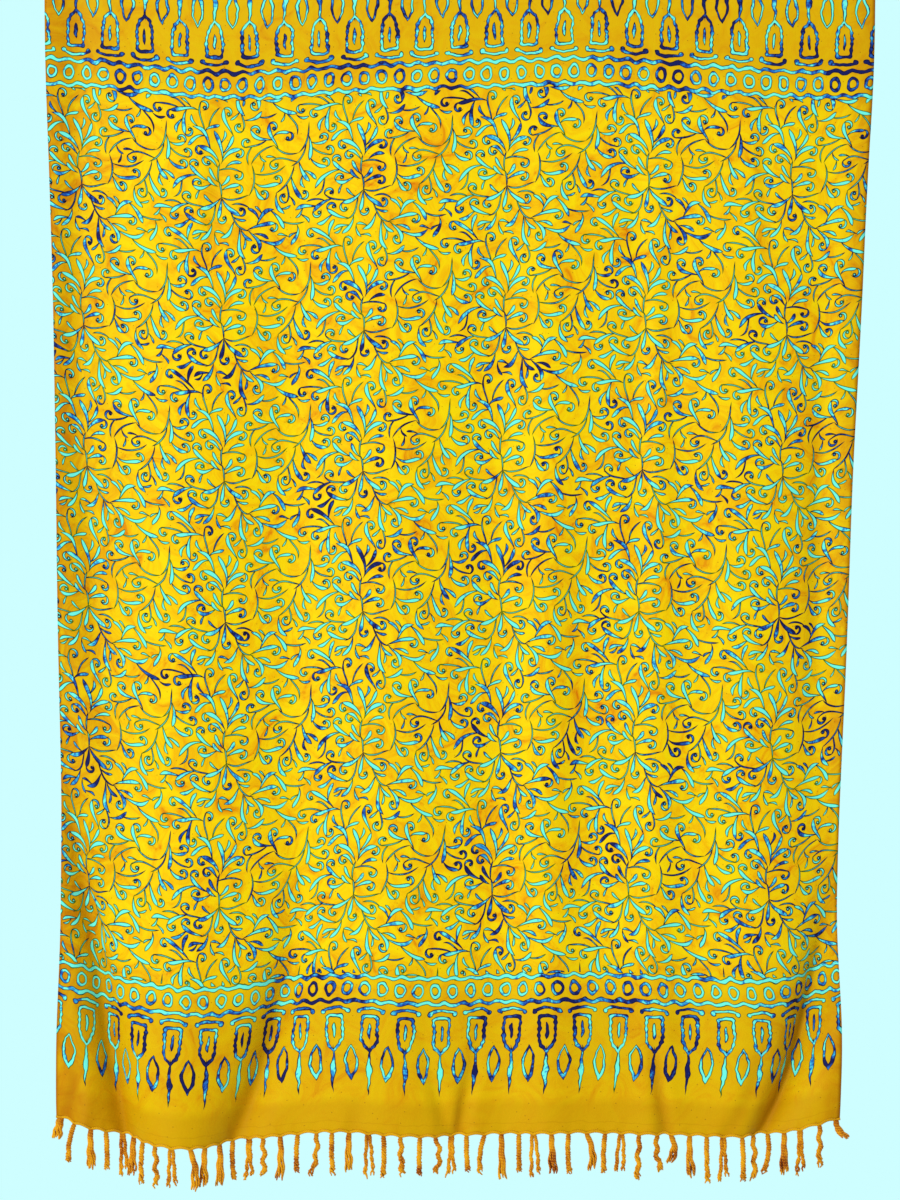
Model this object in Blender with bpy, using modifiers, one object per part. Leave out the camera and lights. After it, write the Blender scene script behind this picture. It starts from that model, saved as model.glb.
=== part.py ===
"""Printed rayon sarong with tasselled ends, hanging straight down by its top edge.

The sarong is one oblong of thin cloth. Each short end has a narrow header that carries
a row of twisted tassels. The front faces -Y, +Z is up, and the origin is the middle of
the top edge, where the cloth is held. All sizes are in metres.
"""

import random
from typing import NamedTuple

import bmesh
import bpy
import numpy as np
from mathutils import Vector

# The cut of the cloth, before it is hung
CLOTH_WIDTH = 1.150
CLOTH_LENGTH = 1.665
CLOTH_WALL = 0.0012

# How finely the panel is divided
PANEL_COLUMNS = 72
PANEL_ROWS = 25
ROW_CROWDING = 1.30
FINE_STEPS = 600

# The header that carries the tassels, and the tassels
HEADER_HEIGHT = 0.0035
HEADER_THICKNESS = 0.0030
SEAM_GAP = 0.0003
TASSEL_COUNT = 49
TASSEL_LENGTH = 0.060
TASSEL_WIDTH = 0.0070
TASSEL_DEPTH = 0.0050
EDGE_MARGIN = 0.0060
SPLIT_GAP = 0.0008
BEHIND_CLOTH = 0.0010
LOWER_SEED = 11
UPPER_SEED = 5

# Folds are smoothed along their length over this distance, and the hang over this share
FOLD_EASE = 0.060
HANG_EASE = 0.030
EASE_STEPS = 7

# Share of the width over which the direction of a hem is measured
TANGENT_STEP = 0.003

# How far tassels wander sideways, lean (as a slope), kink and differ in length
WANDER = 0.0018
LEAN = 0.05
KINK = 0.0015
SHORTEST = 0.88
LONGEST = 1.08


class Edge(NamedTuple):
    """Where the two side edges hang at one distance below the top."""

    down: float
    left: float
    right: float


class Hang(NamedTuple):
    """How far the top and the hem lie above (+) or below (-) their mean level."""

    share: float
    top_rise: float
    hem_rise: float


class Crease(NamedTuple):
    """One point on a fold: depth is towards the back, reach is its half width."""

    down: float
    across: float
    depth: float
    reach: float


class Flute(NamedTuple):
    """A broad soft wave that grows from the top edge downwards."""

    across: float
    depth: float
    reach: float


class OddTassel(NamedTuple):
    """A tassel that does not hang straight: its lean, its kink and its length."""

    lean: float
    kink: float
    length: float


class StrandSection(NamedTuple):
    """A section of a strand: its place along it, its width and depth against the root's."""

    share: float
    wide: float
    deep: float


class Strand(NamedTuple):
    """One strand below the header: its root's two sides and the way it hangs."""

    start: float
    end: float
    lean: float
    kink: float
    length: float
    swell: float


SIDE_EDGES = (
    Edge(down=0.000, left=-0.574, right=0.574),
    Edge(down=0.180, left=-0.573, right=0.572),
    Edge(down=0.345, left=-0.567, right=0.562),
    Edge(down=0.511, left=-0.562, right=0.555),
    Edge(down=0.759, left=-0.558, right=0.542),
    Edge(down=1.007, left=-0.555, right=0.534),
    Edge(down=1.256, left=-0.551, right=0.523),
    Edge(down=1.421, left=-0.552, right=0.522),
    Edge(down=1.504, left=-0.557, right=0.526),
    Edge(down=1.587, left=-0.560, right=0.528),
    Edge(down=1.665, left=-0.559, right=0.523),
)

HANGING = (
    Hang(share=0.00, top_rise=0.002, hem_rise=0.030),
    Hang(share=0.03, top_rise=0.005, hem_rise=0.015),
    Hang(share=0.10, top_rise=-0.003, hem_rise=-0.003),
    Hang(share=0.20, top_rise=-0.015, hem_rise=-0.015),
    Hang(share=0.27, top_rise=-0.015, hem_rise=-0.007),
    Hang(share=0.38, top_rise=-0.006, hem_rise=0.008),
    Hang(share=0.50, top_rise=0.000, hem_rise=-0.001),
    Hang(share=0.66, top_rise=0.007, hem_rise=0.006),
    Hang(share=0.78, top_rise=-0.005, hem_rise=0.003),
    Hang(share=0.90, top_rise=-0.015, hem_rise=-0.001),
    Hang(share=0.96, top_rise=-0.017, hem_rise=0.010),
    Hang(share=1.00, top_rise=-0.017, hem_rise=0.030),
)

FOLDS = {
    "left gutter": (
        Crease(down=0.00, across=-0.528, depth=0.000, reach=0.024),
        Crease(down=0.15, across=-0.528, depth=0.008, reach=0.024),
        Crease(down=0.65, across=-0.526, depth=0.012, reach=0.024),
        Crease(down=0.93, across=-0.504, depth=0.012, reach=0.026),
        Crease(down=1.10, across=-0.488, depth=0.007, reach=0.028),
        Crease(down=1.28, across=-0.470, depth=0.000, reach=0.030),
    ),
    "left corner fold": (
        Crease(down=0.96, across=-0.560, depth=0.000, reach=0.022),
        Crease(down=1.14, across=-0.548, depth=0.010, reach=0.022),
        Crease(down=1.27, across=-0.531, depth=0.020, reach=0.024),
        Crease(down=1.42, across=-0.504, depth=0.026, reach=0.025),
        Crease(down=1.55, across=-0.483, depth=0.028, reach=0.026),
        Crease(down=1.68, across=-0.458, depth=0.026, reach=0.027),
    ),
    "left edge roll": (
        Crease(down=1.30, across=-0.556, depth=0.000, reach=0.020),
        Crease(down=1.50, across=-0.560, depth=0.010, reach=0.018),
        Crease(down=1.68, across=-0.566, depth=0.016, reach=0.020),
    ),
    "sweeping fold": (
        Crease(down=1.20, across=-0.208, depth=0.000, reach=0.030),
        Crease(down=1.36, across=-0.222, depth=0.013, reach=0.030),
        Crease(down=1.45, across=-0.241, depth=0.022, reach=0.030),
        Crease(down=1.56, across=-0.269, depth=0.026, reach=0.031),
        Crease(down=1.68, across=-0.318, depth=0.024, reach=0.033),
    ),
    "swell beside the sweeping fold": (
        Crease(down=1.25, across=-0.385, depth=0.000, reach=0.060),
        Crease(down=1.68, across=-0.395, depth=-0.016, reach=0.055),
    ),
    "pleat left branch": (
        Crease(down=1.53, across=-0.056, depth=0.000, reach=0.010),
        Crease(down=1.60, across=-0.034, depth=0.006, reach=0.011),
        Crease(down=1.68, across=-0.008, depth=0.009, reach=0.013),
    ),
    "pleat right branch": (
        Crease(down=1.52, across=0.030, depth=0.000, reach=0.011),
        Crease(down=1.60, across=0.013, depth=0.008, reach=0.011),
        Crease(down=1.68, across=-0.004, depth=0.008, reach=0.012),
    ),
    "middle right hollow": (
        Crease(down=0.70, across=0.180, depth=0.000, reach=0.040),
        Crease(down=1.00, across=0.176, depth=0.009, reach=0.038),
        Crease(down=1.30, across=0.182, depth=0.008, reach=0.038),
        Crease(down=1.50, across=0.188, depth=0.000, reach=0.040),
    ),
    "upper right hollow": (
        Crease(down=0.20, across=0.246, depth=0.000, reach=0.022),
        Crease(down=0.45, across=0.247, depth=0.005, reach=0.022),
        Crease(down=0.80, across=0.250, depth=0.005, reach=0.022),
        Crease(down=1.08, across=0.252, depth=0.000, reach=0.022),
    ),
    "upper right second hollow": (
        Crease(down=0.25, across=0.292, depth=0.000, reach=0.020),
        Crease(down=0.55, across=0.294, depth=0.004, reach=0.020),
        Crease(down=1.00, across=0.298, depth=0.000, reach=0.022),
    ),
    "short hem hollow": (
        Crease(down=1.50, across=0.262, depth=0.000, reach=0.014),
        Crease(down=1.58, across=0.271, depth=0.006, reach=0.015),
        Crease(down=1.68, across=0.286, depth=0.004, reach=0.017),
    ),
    "right corner fold": (
        Crease(down=1.26, across=0.530, depth=0.000, reach=0.026),
        Crease(down=1.40, across=0.511, depth=0.016, reach=0.026),
        Crease(down=1.48, across=0.486, depth=0.024, reach=0.026),
        Crease(down=1.56, across=0.466, depth=0.028, reach=0.026),
        Crease(down=1.63, across=0.440, depth=0.026, reach=0.027),
        Crease(down=1.69, across=0.400, depth=0.022, reach=0.029),
    ),
    "right corner swell": (
        Crease(down=1.42, across=0.530, depth=0.000, reach=0.026),
        Crease(down=1.58, across=0.512, depth=-0.012, reach=0.026),
        Crease(down=1.68, across=0.494, depth=-0.016, reach=0.028),
    ),
}

FLUTES = (
    Flute(across=-0.380, depth=-0.013, reach=0.068),
    Flute(across=-0.235, depth=0.010, reach=0.046),
    Flute(across=-0.090, depth=-0.011, reach=0.062),
    Flute(across=0.055, depth=0.009, reach=0.042),
    Flute(across=0.120, depth=-0.008, reach=0.038),
    Flute(across=0.272, depth=-0.008, reach=0.028),
    Flute(across=0.400, depth=-0.013, reach=0.058),
    Flute(across=0.500, depth=0.009, reach=0.030),
)
FLUTE_START = 0.05
FLUTE_FULL = 0.95

# Tassels that stand out from the even row, by their place counted from the left
ODD_TASSELS = {
    0: OddTassel(lean=-0.20, kink=0.000, length=0.030),
    1: OddTassel(lean=-0.16, kink=-0.003, length=0.056),
    9: OddTassel(lean=0.10, kink=0.004, length=0.058),
    17: OddTassel(lean=-0.12, kink=0.003, length=0.060),
    24: OddTassel(lean=0.02, kink=0.005, length=0.050),
    27: OddTassel(lean=-0.12, kink=-0.003, length=0.056),
    33: OddTassel(lean=0.14, kink=0.004, length=0.052),
    37: OddTassel(lean=0.12, kink=-0.004, length=0.052),
    38: OddTassel(lean=-0.06, kink=0.006, length=0.040),
    44: OddTassel(lean=-0.10, kink=0.004, length=0.058),
    48: OddTassel(lean=0.55, kink=-0.003, length=0.026),
}

# Tassels that have come apart into two strands, and how those differ from a whole one
SPLIT_TASSELS = frozenset({4, 8, 13, 20, 25, 30, 35, 41, 46})
SPLIT_SPREAD = 0.055
SPLIT_SHORTER = 0.90

# How much wider a whole tassel or a split strand is below its neck
WHOLE_SWELL = 1.25
SPLIT_SWELL = 0.90
STRAND_NECK = 0.20

STRAND_SECTIONS = (
    StrandSection(share=0.12, wide=0.80, deep=1.00),
    StrandSection(share=0.45, wide=1.00, deep=1.20),
    StrandSection(share=0.75, wide=1.05, deep=1.20),
    StrandSection(share=1.00, wide=0.75, deep=0.80),
)

# The corners of a strand's section, in the order of its root face: sideways, backwards
STRAND_CORNERS = ((-1.0, 1.0), (-1.0, -1.0), (1.0, -1.0), (1.0, 1.0))


def eased(down: float, knots: tuple, column: str) -> float:
    """Read one column of a table at a distance down, smoothed over FOLD_EASE."""
    places = [knot.down for knot in knots]
    values = [getattr(knot, column) for knot in knots]
    window = down + np.linspace(-FOLD_EASE, FOLD_EASE, EASE_STEPS)
    return float(np.mean(np.interp(window, places, values)))


def depth_at(across: np.ndarray, down: float) -> np.ndarray:
    """Depth of the cloth's middle surface, positive towards the back."""
    grown = np.clip((down - FLUTE_START) / (FLUTE_FULL - FLUTE_START), 0.0, 1.0)
    grown = grown * grown * (3.0 - 2.0 * grown)
    depth = np.zeros_like(across)
    for flute in FLUTES:
        depth += grown * flute.depth * np.exp(-(((across - flute.across) / flute.reach) ** 2))
    for creases in FOLDS.values():
        fold_depth = eased(down, creases, "depth")
        if fold_depth == 0.0:
            continue
        middle = eased(down, creases, "across")
        reach = eased(down, creases, "reach")
        depth += fold_depth * np.exp(-(((across - middle) / reach) ** 2))
    return depth


def rise_at(share: np.ndarray, down: float) -> np.ndarray:
    """How far the cloth lies above its mean level, between the top and the hem."""
    places = [hang.share for hang in HANGING]
    window = np.asarray(share)[..., None] + np.linspace(-HANG_EASE, HANG_EASE, EASE_STEPS)
    top = np.interp(window, places, [hang.top_rise for hang in HANGING]).mean(axis=-1)
    hem = np.interp(window, places, [hang.hem_rise for hang in HANGING]).mean(axis=-1)
    lowered = down / CLOTH_LENGTH
    return top * (1.0 - lowered) + hem * lowered


def cloth_row(down: float, shares: np.ndarray) -> list:
    """Points of one row of the cloth, spaced by their true distance along it."""
    left = eased(down, SIDE_EDGES, "left")
    right = eased(down, SIDE_EDGES, "right")
    across = np.linspace(left, right, FINE_STEPS)
    depth = depth_at(across, down)
    run = np.concatenate([[0.0], np.cumsum(np.hypot(np.diff(across), np.diff(depth)))])
    places = shares * run[-1]
    level = rise_at(shares, down) - down
    return [
        Vector(point)
        for point in zip(np.interp(places, run, across), np.interp(places, run, depth), level)
    ]


def finished_object(name: str, mesh: bmesh.types.BMesh, material: bpy.types.Material,
                    collection: bpy.types.Collection) -> bpy.types.Object:
    """Turn an edit mesh into a named object of the sarong."""
    data = bpy.data.meshes.new(name)
    mesh.to_mesh(data)
    mesh.free()
    data.materials.append(material)
    data.shade_smooth()
    body = bpy.data.objects.new(name, data)
    collection.objects.link(body)
    return body


def principled(name: str, colour: tuple, roughness: float) -> bpy.types.Material:
    """A plain material of one colour."""
    material = bpy.data.materials.new(name)
    material.use_nodes = True
    shader = material.node_tree.nodes["Principled BSDF"]
    shader.inputs["Base Color"].default_value = (*colour, 1.0)
    shader.inputs["Roughness"].default_value = roughness
    shader.inputs["Metallic"].default_value = 0.0
    return material


def cloth_panel(collection: bpy.types.Collection) -> bpy.types.Object:
    """The one length of cloth: an open surface of rows, thickened to a wall."""
    shares = np.linspace(0.0, 1.0, PANEL_COLUMNS + 1)
    steps = np.linspace(0.0, 1.0, PANEL_ROWS + 1)
    downs = CLOTH_LENGTH * (1.0 - (1.0 - steps) ** ROW_CROWDING)
    mesh = bmesh.new()
    rows = [[mesh.verts.new(point) for point in cloth_row(down, shares)] for down in downs]
    for upper, lower in zip(rows, rows[1:]):
        for column in range(PANEL_COLUMNS):
            mesh.faces.new((upper[column], lower[column], lower[column + 1], upper[column + 1]))
    material = principled("printed_rayon", (0.83, 0.48, 0.01), 0.75)
    panel = finished_object("cloth_panel", mesh, material, collection)
    wall = panel.modifiers.new("wall", "SOLIDIFY")
    wall.thickness = CLOTH_WALL
    wall.offset = 0.0
    wall.use_even_offset = True
    return panel


def strands_of_row(seed: int, odd_tassels: dict) -> list:
    """The strands of one row of tassels, as shares of the cloth's width."""
    source = random.Random(seed)
    pitch = (CLOTH_WIDTH - 2.0 * EDGE_MARGIN) / (TASSEL_COUNT - 1)
    strands = []
    for number in range(TASSEL_COUNT):
        wander = source.uniform(-WANDER, WANDER)
        lean = source.uniform(-LEAN, LEAN)
        kink = source.uniform(-KINK, KINK)
        length = TASSEL_LENGTH * source.uniform(SHORTEST, LONGEST)
        if number in (0, TASSEL_COUNT - 1):
            wander = 0.0
        if number in odd_tassels:
            lean, kink, length = odd_tassels[number]
        middle = (EDGE_MARGIN + number * pitch + wander) / CLOTH_WIDTH
        half = 0.5 * TASSEL_WIDTH / CLOTH_WIDTH
        start, end = middle - half, middle + half
        if number in SPLIT_TASSELS:
            gap = 0.5 * SPLIT_GAP / CLOTH_WIDTH
            left_lean, right_lean = lean - SPLIT_SPREAD, lean + SPLIT_SPREAD
            shorter = SPLIT_SHORTER * length
            strands.append(Strand(start, middle - gap, left_lean, kink, length, SPLIT_SWELL))
            strands.append(Strand(middle + gap, end, right_lean, -kink, shorter, SPLIT_SWELL))
        else:
            strands.append(Strand(start, end, lean, kink, length, WHOLE_SWELL))
    return strands


def header_ring(mesh: bmesh.types.BMesh, point: Vector, backwards: Vector) -> list:
    """Four corners of the header across its length: front top, back top, back, front."""
    front = point - backwards * (0.5 * HEADER_THICKNESS)
    back = point + backwards * (0.5 * HEADER_THICKNESS)
    drop = Vector((0.0, 0.0, -HEADER_HEIGHT))
    return [mesh.verts.new(corner) for corner in (front, back, back + drop, front + drop)]


def backwards_along(line, shares: np.ndarray) -> list:
    """Level directions square to a line, pointing away from the cloth's front."""
    before = line(np.clip(shares - TANGENT_STEP, 0.0, 1.0))
    after = line(np.clip(shares + TANGENT_STEP, 0.0, 1.0))
    along = [(end - start) for start, end in zip(before, after)]
    return [Vector((-way.y, way.x, 0.0)).normalized() for way in along]


def fringe(name: str, header_line, hang_depth, strands: list, material: bpy.types.Material,
           collection: bpy.types.Collection) -> bpy.types.Object:
    """A header with its tassels drawn out of its underside, as one body.

    header_line gives the middle of the header's top edge at a share of the width, and
    hang_depth the least depth allowed at a place beside the cloth, or None.
    """
    stations = sorted({0.0, 1.0, *(s.start for s in strands), *(s.end for s in strands)})
    points = header_line(np.array(stations))
    directions = backwards_along(header_line, np.array(stations))
    mesh = bmesh.new()
    rings = [header_ring(mesh, *placed) for placed in zip(points, directions)]
    undersides = {}
    for start, backwards, ring, following in zip(stations, directions, rings, rings[1:]):
        for side in range(4):
            after = (side + 1) % 4
            face = mesh.faces.new((ring[side], ring[after], following[after], following[side]))
            if side == 2:
                undersides[start] = (face, backwards)
    mesh.faces.new(reversed(rings[0]))
    mesh.faces.new(rings[-1])
    for strand in strands:
        draw_strand(mesh, *undersides[strand.start], strand, hang_depth)
    bmesh.ops.recalc_face_normals(mesh, faces=mesh.faces)
    return finished_object(name, mesh, material, collection)


def draw_strand(mesh: bmesh.types.BMesh, root: bmesh.types.BMFace, backwards: Vector,
                strand: Strand, hang_depth) -> None:
    """Extrude one strand down from its root face, section by section."""
    centre = root.calc_center_median()
    width = (strand.end - strand.start) * CLOTH_WIDTH
    rightwards = Vector((backwards.y, -backwards.x, 0.0))
    face = root
    for share, wide, deep in STRAND_SECTIONS:
        face = bmesh.ops.extrude_discrete_faces(mesh, faces=[face])["faces"][0]
        sideways = strand.lean * share * strand.length
        sideways += strand.kink * np.sin(np.pi * share)
        middle = centre + Vector((sideways, 0.0, -share * strand.length))
        half_width = 0.5 * width * wide * (1.0 if share < STRAND_NECK else strand.swell)
        half_depth = 0.5 * deep * TASSEL_DEPTH
        if hang_depth is not None:
            middle.y = max(middle.y, hang_depth(middle.x, -middle.z) + half_depth)
        for vert, (outward, behind) in zip(face.verts, STRAND_CORNERS):
            corner = rightwards * (outward * half_width) + backwards * (behind * half_depth)
            vert.co = middle + corner


def hem_line(shares: np.ndarray) -> list:
    """Middle of the lower header's top edge, just under the cloth's hem."""
    gap = Vector((0.0, 0.0, -SEAM_GAP))
    return [point + gap for point in cloth_row(CLOTH_LENGTH, shares)]


def top_line(shares: np.ndarray) -> list:
    """Middle of the upper header's top edge, behind the cloth's top edge."""
    behind = Vector((0.0, 0.5 * (CLOTH_WALL + HEADER_THICKNESS) + SEAM_GAP, 0.0))
    return [point + behind for point in cloth_row(0.0, shares)]


def back_of_cloth(across: float, down: float) -> float:
    """Depth of the cloth's back face near the top edge, with room for a tassel."""
    return float(depth_at(np.array([across]), down)[0]) + 0.5 * CLOTH_WALL + BEHIND_CLOTH


def main() -> None:
    """Clear the scene and build the sarong."""
    for leftover in list(bpy.data.objects):
        bpy.data.objects.remove(leftover, do_unlink=True)
    sarong = bpy.data.collections.new("sarong")
    bpy.context.scene.collection.children.link(sarong)
    cloth_panel(sarong)
    cord = principled("twisted_rayon_cord", (0.56, 0.24, 0.02), 0.85)
    lower_row = strands_of_row(LOWER_SEED, ODD_TASSELS)
    upper_row = strands_of_row(UPPER_SEED, {})
    fringe("fringe_bottom", hem_line, None, lower_row, cord, sarong)
    fringe("fringe_top", top_line, back_of_cloth, upper_row, cord, sarong)


main()
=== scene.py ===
"""Printed rayon sarong with tasselled ends, hanging by its top edge in a pale studio.

The front faces -Y, +Z is up and the origin is the middle of the top edge. Lengths of
the model are in metres. The stamped pattern is laid out in millimetres on the flat cloth.
"""

import logging
import math
import random
from dataclasses import dataclass
from enum import Enum
from typing import NamedTuple

import bpy
import numpy as np
from bpy.types import Material, NodeSocket, NodeTree, Object
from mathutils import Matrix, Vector


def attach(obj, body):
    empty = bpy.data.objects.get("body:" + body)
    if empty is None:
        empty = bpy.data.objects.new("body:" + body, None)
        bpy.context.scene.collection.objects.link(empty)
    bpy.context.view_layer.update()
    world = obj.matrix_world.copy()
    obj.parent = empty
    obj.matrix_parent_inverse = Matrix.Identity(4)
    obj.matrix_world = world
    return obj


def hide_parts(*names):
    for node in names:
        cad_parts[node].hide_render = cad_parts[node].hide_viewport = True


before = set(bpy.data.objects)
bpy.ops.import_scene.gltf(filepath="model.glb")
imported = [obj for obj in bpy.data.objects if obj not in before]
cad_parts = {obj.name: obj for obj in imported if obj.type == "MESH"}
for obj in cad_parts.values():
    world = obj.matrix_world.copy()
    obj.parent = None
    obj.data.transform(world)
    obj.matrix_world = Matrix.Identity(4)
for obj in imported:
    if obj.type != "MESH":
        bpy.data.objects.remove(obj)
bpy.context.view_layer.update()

log = logging.getLogger("sarong")

BODY = "root"
MM = 0.001
CM_IN_M = 100.0
CLOTH_WIDTH = 1.150
CLOTH_LENGTH = 1.665
FIBRE_GLOSS = 0.06
SHEEN_SPREAD = 0.5

# The sockets of a Mix node that mixes colours: the two colours, and the result
UNDER, OVER, MIXED = 6, 7, 2


def linear(hex_colour: str) -> tuple:
    """Turn an sRGB hex colour into linear red, green, blue and alpha.

    Args:
        hex_colour: a colour such as "#F5C000".

    Returns:
        Four numbers from 0 to 1.
    """
    channels = [int(hex_colour[start:start + 2], 16) / 255.0 for start in (1, 3, 5)]
    curve = [c / 12.92 if c <= 0.04045 else ((c + 0.055) / 1.055) ** 2.4 for c in channels]
    return (*curve, 1.0)


def add_node(tree: NodeTree, kind: str, *inputs: object, output: int | str = 0,
             named: dict | None = None, stops: tuple = (), **settings: object) -> NodeSocket:
    """Add one node with its settings and links.

    Args:
        tree: the node tree that gets the node.
        kind: the node's type without its "ShaderNode" prefix, then a dot and its operation
            where it has one, such as "Math.ADD".
        inputs: what feeds the inputs in order: a socket, a value, or None to skip one.
        output: which output to return.
        named: what feeds inputs that are given by name or number.
        stops: for a colour ramp, pairs of a place from 0 to 1 and a hex colour.
        settings: the node's own properties.

    Returns:
        The output socket asked for.
    """
    kind, _, operation = kind.partition(".")
    node = tree.nodes.new("ShaderNode" + kind)
    if operation:
        node.operation = operation
    for name, value in settings.items():
        setattr(node, name, value)
    feeds = list(zip(node.inputs, inputs))
    feeds += [(node.inputs[name], value) for name, value in (named or {}).items()]
    for socket, value in feeds:
        if isinstance(value, NodeSocket):
            tree.links.new(value, socket)
        elif value is not None:
            socket.default_value = value
    while stops and len(node.color_ramp.elements) < len(stops):
        node.color_ramp.elements.new(0.5)
    for number, (place, shade) in enumerate(stops):
        node.color_ramp.elements[number].position = place
        node.color_ramp.elements[number].color = linear(shade)
    return node.outputs[output]


def new_material(name: str, roughness: float, sheen: float) -> tuple:
    """Make a material with a Principled shader of even roughness and sheen.

    Args:
        name: the material's name.
        roughness: the shader's roughness.
        sheen: the weight of its sheen, as on fine fibres.

    Returns:
        The material, its node tree and its shader node.
    """
    material = bpy.data.materials.new(name)
    material.use_nodes = True
    tree = material.node_tree
    shader = tree.nodes["Principled BSDF"]
    shader.inputs["Roughness"].default_value = roughness
    shader.inputs["Sheen Weight"].default_value = sheen
    shader.inputs["Sheen Roughness"].default_value = SHEEN_SPREAD
    shader.inputs["Specular IOR Level"].default_value = FIBRE_GLOSS
    return material, tree, shader


def smooth(share: float | np.ndarray) -> float | np.ndarray:
    """Ease a share in and out between 0 and 1."""
    share = np.clip(share, 0.0, 1.0)
    return share * share * (3.0 - 2.0 * share)


def fold_section(across: np.ndarray, middle: float, reach: float) -> np.ndarray:
    """Section through a fold: 1 along its middle, sinking to 0 on both sides."""
    return np.exp(-(((across - middle) / reach) ** 2))


def run_along(points: np.ndarray) -> np.ndarray:
    """Distance of each point from the first, along the line through them."""
    steps = np.linalg.norm(np.diff(points, axis=0), axis=1)
    return np.concatenate([[0.0], np.cumsum(steps)])


class Knot(NamedTuple):
    """One point on a fold: depth is towards the back, reach is its half width."""

    down: float
    across: float
    depth: float
    reach: float


class Edge(NamedTuple):
    """Where the two side edges hang at one distance below the top."""

    down: float
    left: float
    right: float


class Hang(NamedTuple):
    """How far the top and the hem lie above (+) or below (-) their mean level."""

    share: float
    top_rise: float
    hem_rise: float


class Flute(NamedTuple):
    """A broad soft wave that grows from the top edge downwards."""

    across: float
    depth: float
    reach: float


SIDE_EDGES = (
    Edge(down=0.000, left=-0.574, right=0.574),
    Edge(down=0.180, left=-0.573, right=0.572),
    Edge(down=0.345, left=-0.567, right=0.562),
    Edge(down=0.511, left=-0.562, right=0.555),
    Edge(down=0.759, left=-0.558, right=0.542),
    Edge(down=1.007, left=-0.555, right=0.534),
    Edge(down=1.256, left=-0.551, right=0.523),
    Edge(down=1.421, left=-0.552, right=0.522),
    Edge(down=1.504, left=-0.557, right=0.526),
    Edge(down=1.587, left=-0.560, right=0.528),
    Edge(down=1.665, left=-0.559, right=0.523),
)

HANGING = (
    Hang(share=0.00, top_rise=0.002, hem_rise=0.030),
    Hang(share=0.03, top_rise=0.005, hem_rise=0.015),
    Hang(share=0.10, top_rise=-0.003, hem_rise=-0.003),
    Hang(share=0.20, top_rise=-0.015, hem_rise=-0.015),
    Hang(share=0.27, top_rise=-0.015, hem_rise=-0.007),
    Hang(share=0.38, top_rise=-0.006, hem_rise=0.008),
    Hang(share=0.50, top_rise=0.000, hem_rise=-0.001),
    Hang(share=0.66, top_rise=0.007, hem_rise=0.006),
    Hang(share=0.78, top_rise=-0.005, hem_rise=0.003),
    Hang(share=0.90, top_rise=-0.015, hem_rise=-0.001),
    Hang(share=0.96, top_rise=-0.017, hem_rise=0.010),
    Hang(share=1.00, top_rise=-0.017, hem_rise=0.030),
)

# In both tables a knot has its distance down, its place across, its depth and its reach
FOLDS = {
    "left gutter": (
        Knot(0.00, -0.528, 0.000, 0.024),
        Knot(0.15, -0.528, 0.008, 0.024),
        Knot(0.65, -0.526, 0.012, 0.024),
        Knot(0.93, -0.504, 0.012, 0.026),
        Knot(1.10, -0.488, 0.007, 0.028),
        Knot(1.28, -0.470, 0.000, 0.030),
    ),
    "left corner fold": (
        Knot(0.96, -0.560, 0.000, 0.022),
        Knot(1.14, -0.548, 0.010, 0.022),
        Knot(1.27, -0.531, 0.020, 0.024),
        Knot(1.42, -0.504, 0.026, 0.025),
        Knot(1.55, -0.483, 0.028, 0.026),
        Knot(1.68, -0.458, 0.026, 0.027),
    ),
    "left edge roll": (
        Knot(1.30, -0.556, 0.000, 0.020),
        Knot(1.50, -0.560, 0.010, 0.018),
        Knot(1.68, -0.566, 0.016, 0.020),
    ),
    "sweeping fold": (
        Knot(1.20, -0.208, 0.000, 0.030),
        Knot(1.36, -0.222, 0.013, 0.030),
        Knot(1.45, -0.241, 0.022, 0.030),
        Knot(1.56, -0.269, 0.026, 0.031),
        Knot(1.68, -0.318, 0.024, 0.033),
    ),
    "swell beside the sweeping fold": (
        Knot(1.25, -0.385, 0.000, 0.060),
        Knot(1.68, -0.395, -0.016, 0.055),
    ),
    "pleat left branch": (
        Knot(1.53, -0.056, 0.000, 0.010),
        Knot(1.60, -0.034, 0.006, 0.011),
        Knot(1.68, -0.008, 0.009, 0.013),
    ),
    "pleat right branch": (
        Knot(1.52, 0.030, 0.000, 0.011),
        Knot(1.60, 0.013, 0.008, 0.011),
        Knot(1.68, -0.004, 0.008, 0.012),
    ),
    "middle right hollow": (
        Knot(0.70, 0.180, 0.000, 0.040),
        Knot(1.00, 0.176, 0.009, 0.038),
        Knot(1.30, 0.182, 0.008, 0.038),
        Knot(1.50, 0.188, 0.000, 0.040),
    ),
    "upper right hollow": (
        Knot(0.20, 0.246, 0.000, 0.022),
        Knot(0.45, 0.247, 0.005, 0.022),
        Knot(0.80, 0.250, 0.005, 0.022),
        Knot(1.08, 0.252, 0.000, 0.022),
    ),
    "upper right second hollow": (
        Knot(0.25, 0.292, 0.000, 0.020),
        Knot(0.55, 0.294, 0.004, 0.020),
        Knot(1.00, 0.298, 0.000, 0.022),
    ),
    "short hem hollow": (
        Knot(1.50, 0.262, 0.000, 0.014),
        Knot(1.58, 0.271, 0.006, 0.015),
        Knot(1.68, 0.286, 0.004, 0.017),
    ),
    "right corner fold": (
        Knot(1.26, 0.530, 0.000, 0.026),
        Knot(1.40, 0.511, 0.016, 0.026),
        Knot(1.48, 0.486, 0.024, 0.026),
        Knot(1.56, 0.466, 0.028, 0.026),
        Knot(1.63, 0.440, 0.026, 0.027),
        Knot(1.69, 0.400, 0.022, 0.029),
    ),
    "right corner swell": (
        Knot(1.42, 0.530, 0.000, 0.026),
        Knot(1.58, 0.512, -0.012, 0.026),
        Knot(1.68, 0.494, -0.016, 0.028),
    ),
}

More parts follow.
